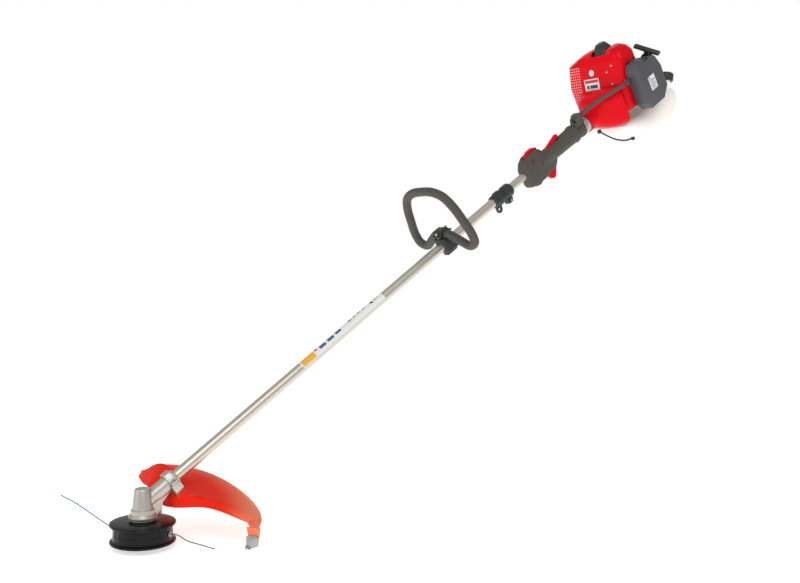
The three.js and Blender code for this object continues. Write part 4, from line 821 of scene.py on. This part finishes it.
def scatter_tree(name):
    """Copies one object over a flat grid of points: the rows and columns are inputs."""
    tree = bpy.data.node_groups.new(name, "GeometryNodeTree")
    for label, kind, value in (("Piece", "NodeSocketObject", None), ("Columns", "NodeSocketInt", 4),
                               ("Rows", "NodeSocketInt", 6),
                               ("Width", FLOAT, 0.03), ("Height", FLOAT, 0.08), ("Turn Spread", FLOAT, 0.0),
                               ("Seed", "NodeSocketInt", 7), ("Material", "NodeSocketMaterial", None)):
        socket = tree.interface.new_socket(label, in_out="INPUT", socket_type=kind)
        if value is not None:
            socket.default_value = value
    tree.interface.new_socket("Geometry", in_out="OUTPUT", socket_type="NodeSocketGeometry")
    inn, out = tree.nodes.new("NodeGroupInput"), tree.nodes.new("NodeGroupOutput")
    grid = tree.nodes.new("GeometryNodeMeshGrid")
    spots = tree.nodes.new("GeometryNodeMeshToPoints")
    held = tree.nodes.new("GeometryNodeObjectInfo")
    copies = tree.nodes.new("GeometryNodeInstanceOnPoints")
    turn = tree.nodes.new("FunctionNodeRandomValue")
    turn.data_type = "FLOAT"
    low = tree.nodes.new("ShaderNodeMath")
    low.operation = "MULTIPLY"
    low.inputs[1].default_value = -1.0
    angles = tree.nodes.new("ShaderNodeCombineXYZ")
    real = tree.nodes.new("GeometryNodeRealizeInstances")
    painted = tree.nodes.new("GeometryNodeSetMaterial")
    link = tree.links.new
    for label, socket in (("Columns", "Vertices X"), ("Rows", "Vertices Y"), ("Width", "Size X"),
                          ("Height", "Size Y")):
        link(inn.outputs[label], grid.inputs[socket])
    link(grid.outputs["Mesh"], spots.inputs["Mesh"])
    link(spots.outputs["Points"], copies.inputs["Points"])
    link(inn.outputs["Piece"], held.inputs["Object"])
    link(held.outputs["Geometry"], copies.inputs["Instance"])
    link(inn.outputs["Turn Spread"], low.inputs[0])
    link(low.outputs[0], turn.inputs[2])
    link(inn.outputs["Turn Spread"], turn.inputs[3])
    link(inn.outputs["Seed"], turn.inputs["Seed"])
    link(turn.outputs[1], angles.inputs["Z"])
    link(angles.outputs["Vector"], copies.inputs["Rotation"])
    link(copies.outputs["Instances"], real.inputs["Geometry"])
    link(real.outputs["Geometry"], painted.inputs["Geometry"])
    link(inn.outputs["Material"], painted.inputs["Material"])
    link(painted.outputs["Geometry"], out.inputs["Geometry"])
    return tree


SCATTER = scatter_tree("laid_out_copies")


def laid_out(name, piece, space, look, slot, body, **values):
    """Runs the layout for one body and keeps its result as a plain mesh at the origin."""
    holder = bpy.data.objects.new(name, bpy.data.meshes.new(name))
    bpy.context.scene.collection.objects.link(holder)
    mod = holder.modifiers.new("layout", "NODES")
    mod.node_group = SCATTER
    settings = {"Piece": piece, "Material": look, **{k.replace("_", " "): v for k, v in values.items()}}
    for item in SCATTER.interface.items_tree:
        if item.in_out == "INPUT" and item.name in settings:
            mod[item.identifier] = settings[item.name]
    graph = bpy.context.evaluated_depsgraph_get()
    graph.update()
    mesh = bpy.data.meshes.new_from_object(holder.evaluated_get(graph))
    holder.modifiers.clear()
    holder.data = mesh
    mesh.transform(space)
    if space.determinant() < 0:
        mesh.flip_normals()
    return place(shade(holder, 30), look, slot, body=body)


def screw_head(name, radius):
    """Pan head with a cross recess, foot on z = 0."""
    head = lathe(name, [(0, -0.6), (radius, -0.6), (radius, 0.5), (radius * 0.86, 1.3), (radius * 0.5, 1.9),
                        (0, 2.0)], 24, ROW)
    arm = radius * 0.55
    cut(head, box("slot_a", -arm, arm, -0.35, 0.35, 1.0, 3, ROW),
        box("slot_b", -0.35, 0.35, -arm, arm, 1.0, 3, ROW))
    return head


def face_frame(origin, out_normal, up):
    """Frame on the shaft's frame with z out of a face, from a point, the face's normal and an upward hint."""
    z = Vector(out_normal).normalized()
    x = Vector(up).cross(z).normalized()
    y = z.cross(x)
    turn = Matrix((x, y, z)).transposed().to_4x4()
    return SHAFT @ Matrix.Translation(Vector(origin) * MM) @ turn


def front_x(z):
    """Where the cover's front face stands at a height."""
    return blend_levels(COVER, z)[0]


def front_at(y, z):
    """The front face with its rounded corner on the silencer side."""
    x0, _, _, y1, r = blend_levels(COVER, z)
    over = min(max(0.0, y - (y1 - r)), r * 0.97)
    return x0 + r - math.sqrt(r * r - over * over)


def front_face(y, z):
    """Frame on the cover's front face, its z out of the face."""
    slope = (front_x(z + 1) - front_x(z - 1)) / 2
    return face_frame((front_x(z) + SKIN_IN, y, z), (-1, 0, slope), (0, 0, 1))


def patch(name, width, height, space, look, slot, thickness=0.25, lift=0.0, corner=1.0):
    """Thin sticker with rounded corners, its face on the frame's z."""
    outline = rounded_rect(-width / 2, width / 2, -height / 2, height / 2, corner, 4)
    rings = [[(u, v, h) for u, v in outline] for h in (lift, lift + thickness)]
    piece = skin(name, rings, space)
    return place(shade(piece, 30), look, slot, body="machine")


def disc(name, radius, space, look, slot, thickness=0.3, lift=0.0):
    piece = lathe(name, [(0, lift), (radius, lift), (radius, lift + thickness * 0.6),
                         (radius - 0.2, lift + thickness), (0, lift + thickness)], 40, space)
    return place(shade(piece, 30), look, slot, body="machine")


SCATTERED = material("hole_rim", "moulded", (0.93, 0.60, 0.58), (0.90, 0.52, 0.50), (0.6, 0.3, 0.3), 0.4,
                     bump=0.05)
WHITE = material("sticker_white", "moulded", (0.86, 0.86, 0.85), (0.80, 0.80, 0.79), (0.6, 0.6, 0.6), 0.35,
                 bump=0.05)
INK = material("sticker_ink", "moulded", (0.015, 0.015, 0.017), (0.03, 0.03, 0.03), (0.2, 0.2, 0.2), 0.4,
               bump=0.05)
SCARLET = material("sticker_red", "moulded", (0.62, 0.005, 0.012), (0.5, 0.004, 0.01), (0.7, 0.1, 0.1),
                   0.35, bump=0.05)
AMBER = material("sticker_amber", "moulded", (0.90, 0.46, 0.015), (0.84, 0.38, 0.01), (0.8, 0.5, 0.3), 0.35,
                 bump=0.05)
BLUE = material("sticker_blue", "moulded", (0.05, 0.10, 0.32), (0.04, 0.08, 0.26), (0.3, 0.3, 0.5), 0.35,
                bump=0.05)


HOLE_COLUMNS, HOLE_ROWS = 6, 17
HOLE_FIELD = (38, 112)   # width and height over the rims' centres
HOLE_CENTRE = (84, 58)   # y and z on the shaft's frame


def cover_details():
    """Badge, round sticker, screws and the field of vent rims on the cover's front."""
    badge = front_face(22, 60)
    patch("badge_ground", 52, 46, badge, WHITE, "red", 0.3)
    for name, w, h, u, v, look in (("badge_top", 47, 8, 0, 16, SCARLET),
                                   ("badge_foot", 47, 6, 0, -18, SCARLET),
                                   ("badge_bar", 27, 9, 6, 1, INK), ("badge_wedge", 8, 10, -15, 1, INK),
                                   ("badge_line", 30, 1.8, 2, -9.5, SCARLET)):
        patch(name, w, h, badge @ Matrix.Translation((u * MM, v * MM, 0)), look, "red", 0.2, 0.32, 0.6)
    disc("badge_dot", 8.5, front_face(20, 96), WHITE, "red")
    pin = screw_head("cover_screw", 3.4)
    for k, (y, z) in enumerate(((-34, 92), (-52, 106), (30, 22), (-30, 20), (-50, 60))):
        laid_out("cover_screw.%d" % k, pin, front_face(y, z), LOOK["steel"], "red", "machine",
                 Columns=1, Rows=1, Width=0.0, Height=0.0, Turn_Spread=1.2, Seed=11 + k)
    bpy.data.objects.remove(pin, do_unlink=True)
    dimple = lathe("dimple", [(0, -0.4), (1.9, -0.4), (1.9, 0.1), (1.4, 0.3), (0, 0.3)], 10, ROW)
    holes = laid_out("air_holes", dimple, Matrix.Identity(4), SCATTERED, "red", "machine",
                     Columns=HOLE_COLUMNS, Rows=HOLE_ROWS, Width=HOLE_FIELD[0] * MM,
                     Height=HOLE_FIELD[1] * MM,
                     Turn_Spread=0.0, Seed=3)
    for v in holes.data.vertices:
        y, z = HOLE_CENTRE[0] - v.co.x / MM, HOLE_CENTRE[1] + v.co.y / MM
        v.co = SHAFT @ (Vector((front_at(y, z) + SKIN_IN - v.co.z / MM, y, z)) * MM)
    bpy.data.objects.remove(dimple, do_unlink=True)


cover_details()


# ---- Filter label, tube decal and small fittings ---------------------------------------------

filter_face = face_frame((1715, -129.05, 22), (0, -1, 0), (0, 0, 1))
patch("filter_label", 29, 39, filter_face, WHITE, "slate", 0.25)
for j in range(7):
    patch("filter_label_line.%d" % j, 22 - 6 * (j % 3 == 2), 1.3,
          filter_face @ Matrix.Translation((0, (9 - 4.1 * j) * MM, 0)),
          INK, "slate", 0.15, 0.27, 0.3)
disc("filter_label_mark", 2.6, filter_face @ Matrix.Translation((-9 * MM, 15.4 * MM, 0)), INK, "slate",
     0.15, 0.27)


TUBE_FACE = 12.05        # radius that foil lies on
DECAL_GROUND, DECAL_INK = 0.1, 0.25   # heights of the foil's two layers


def tube_wrap(name, s0, s1, a0, a1, look, lift):
    """Foil wrapped part of the way round the lower tube."""
    radius = TUBE_FACE + lift
    spans = max(4, int((a1 - a0) / 6))
    rings = []
    for s in (s0, s1):
        outer = [(s, radius * math.cos(math.radians(a0 + (a1 - a0) * i / spans)),
                  radius * math.sin(math.radians(a0 + (a1 - a0) * i / spans)))
                 for i in range(spans + 1)]
        inner = [(x, y * (radius - 0.1) / radius, z * (radius - 0.1) / radius) for x, y, z in reversed(outer)]
        rings.append(outer + inner)
    return place(shade(skin(name, rings, SHAFT), 40), look, "alloy", body="machine")


tube_wrap("tube_decal_ground", 444, 712, 66, 178, WHITE, DECAL_GROUND)
tube_wrap("tube_decal_amber", 447, 486, 82, 168, AMBER, DECAL_INK)
DECAL_SHAPES = ((490, 498, 84, 112, SCARLET), (504, 523, 98, 138, BLUE), (530, 549, 94, 134, BLUE),
                (556, 573, 90, 128, BLUE),
                (600, 611, 86, 106, INK), (617, 625, 82, 102, INK), (631, 641, 82, 100, INK),
                (647, 657, 80, 98, INK),
                (674, 681, 80, 118, INK), (686, 688, 80, 112, INK), (692, 694, 80, 110, INK),
                (698, 700, 80, 108, INK))
for k, (s0, s1, a0, a1, ink) in enumerate(DECAL_SHAPES):
    tube_wrap("tube_decal_shape.%d" % k, s0, s1, a0, a1, ink, DECAL_INK)

MAROON = material("switch_mark", "moulded", (0.10, 0.018, 0.016), (0.08, 0.014, 0.012), (0.2, 0.08, 0.08),
                  0.45, bump=0.1)
disc("bulb_mark", 8, face_frame((1299, -17, 22), (0, -1, 0), (0, 0, 1)), MAROON, "grip", 0.5, -0.1)
adjuster = SHAFT @ Matrix.Translation((1656 * MM, -94.2 * MM, 55.8 * MM))
place(shade(lathe("cable_adjuster", [(6.2, 0), (8.4, 0), (8.4, 2), (7.4, 2.6), (7.4, 7), (6.2, 7),
                                     (6.2, 0)], 6, adjuster, "X"), 30),
      LOOK["steel"], "steel", body="machine")
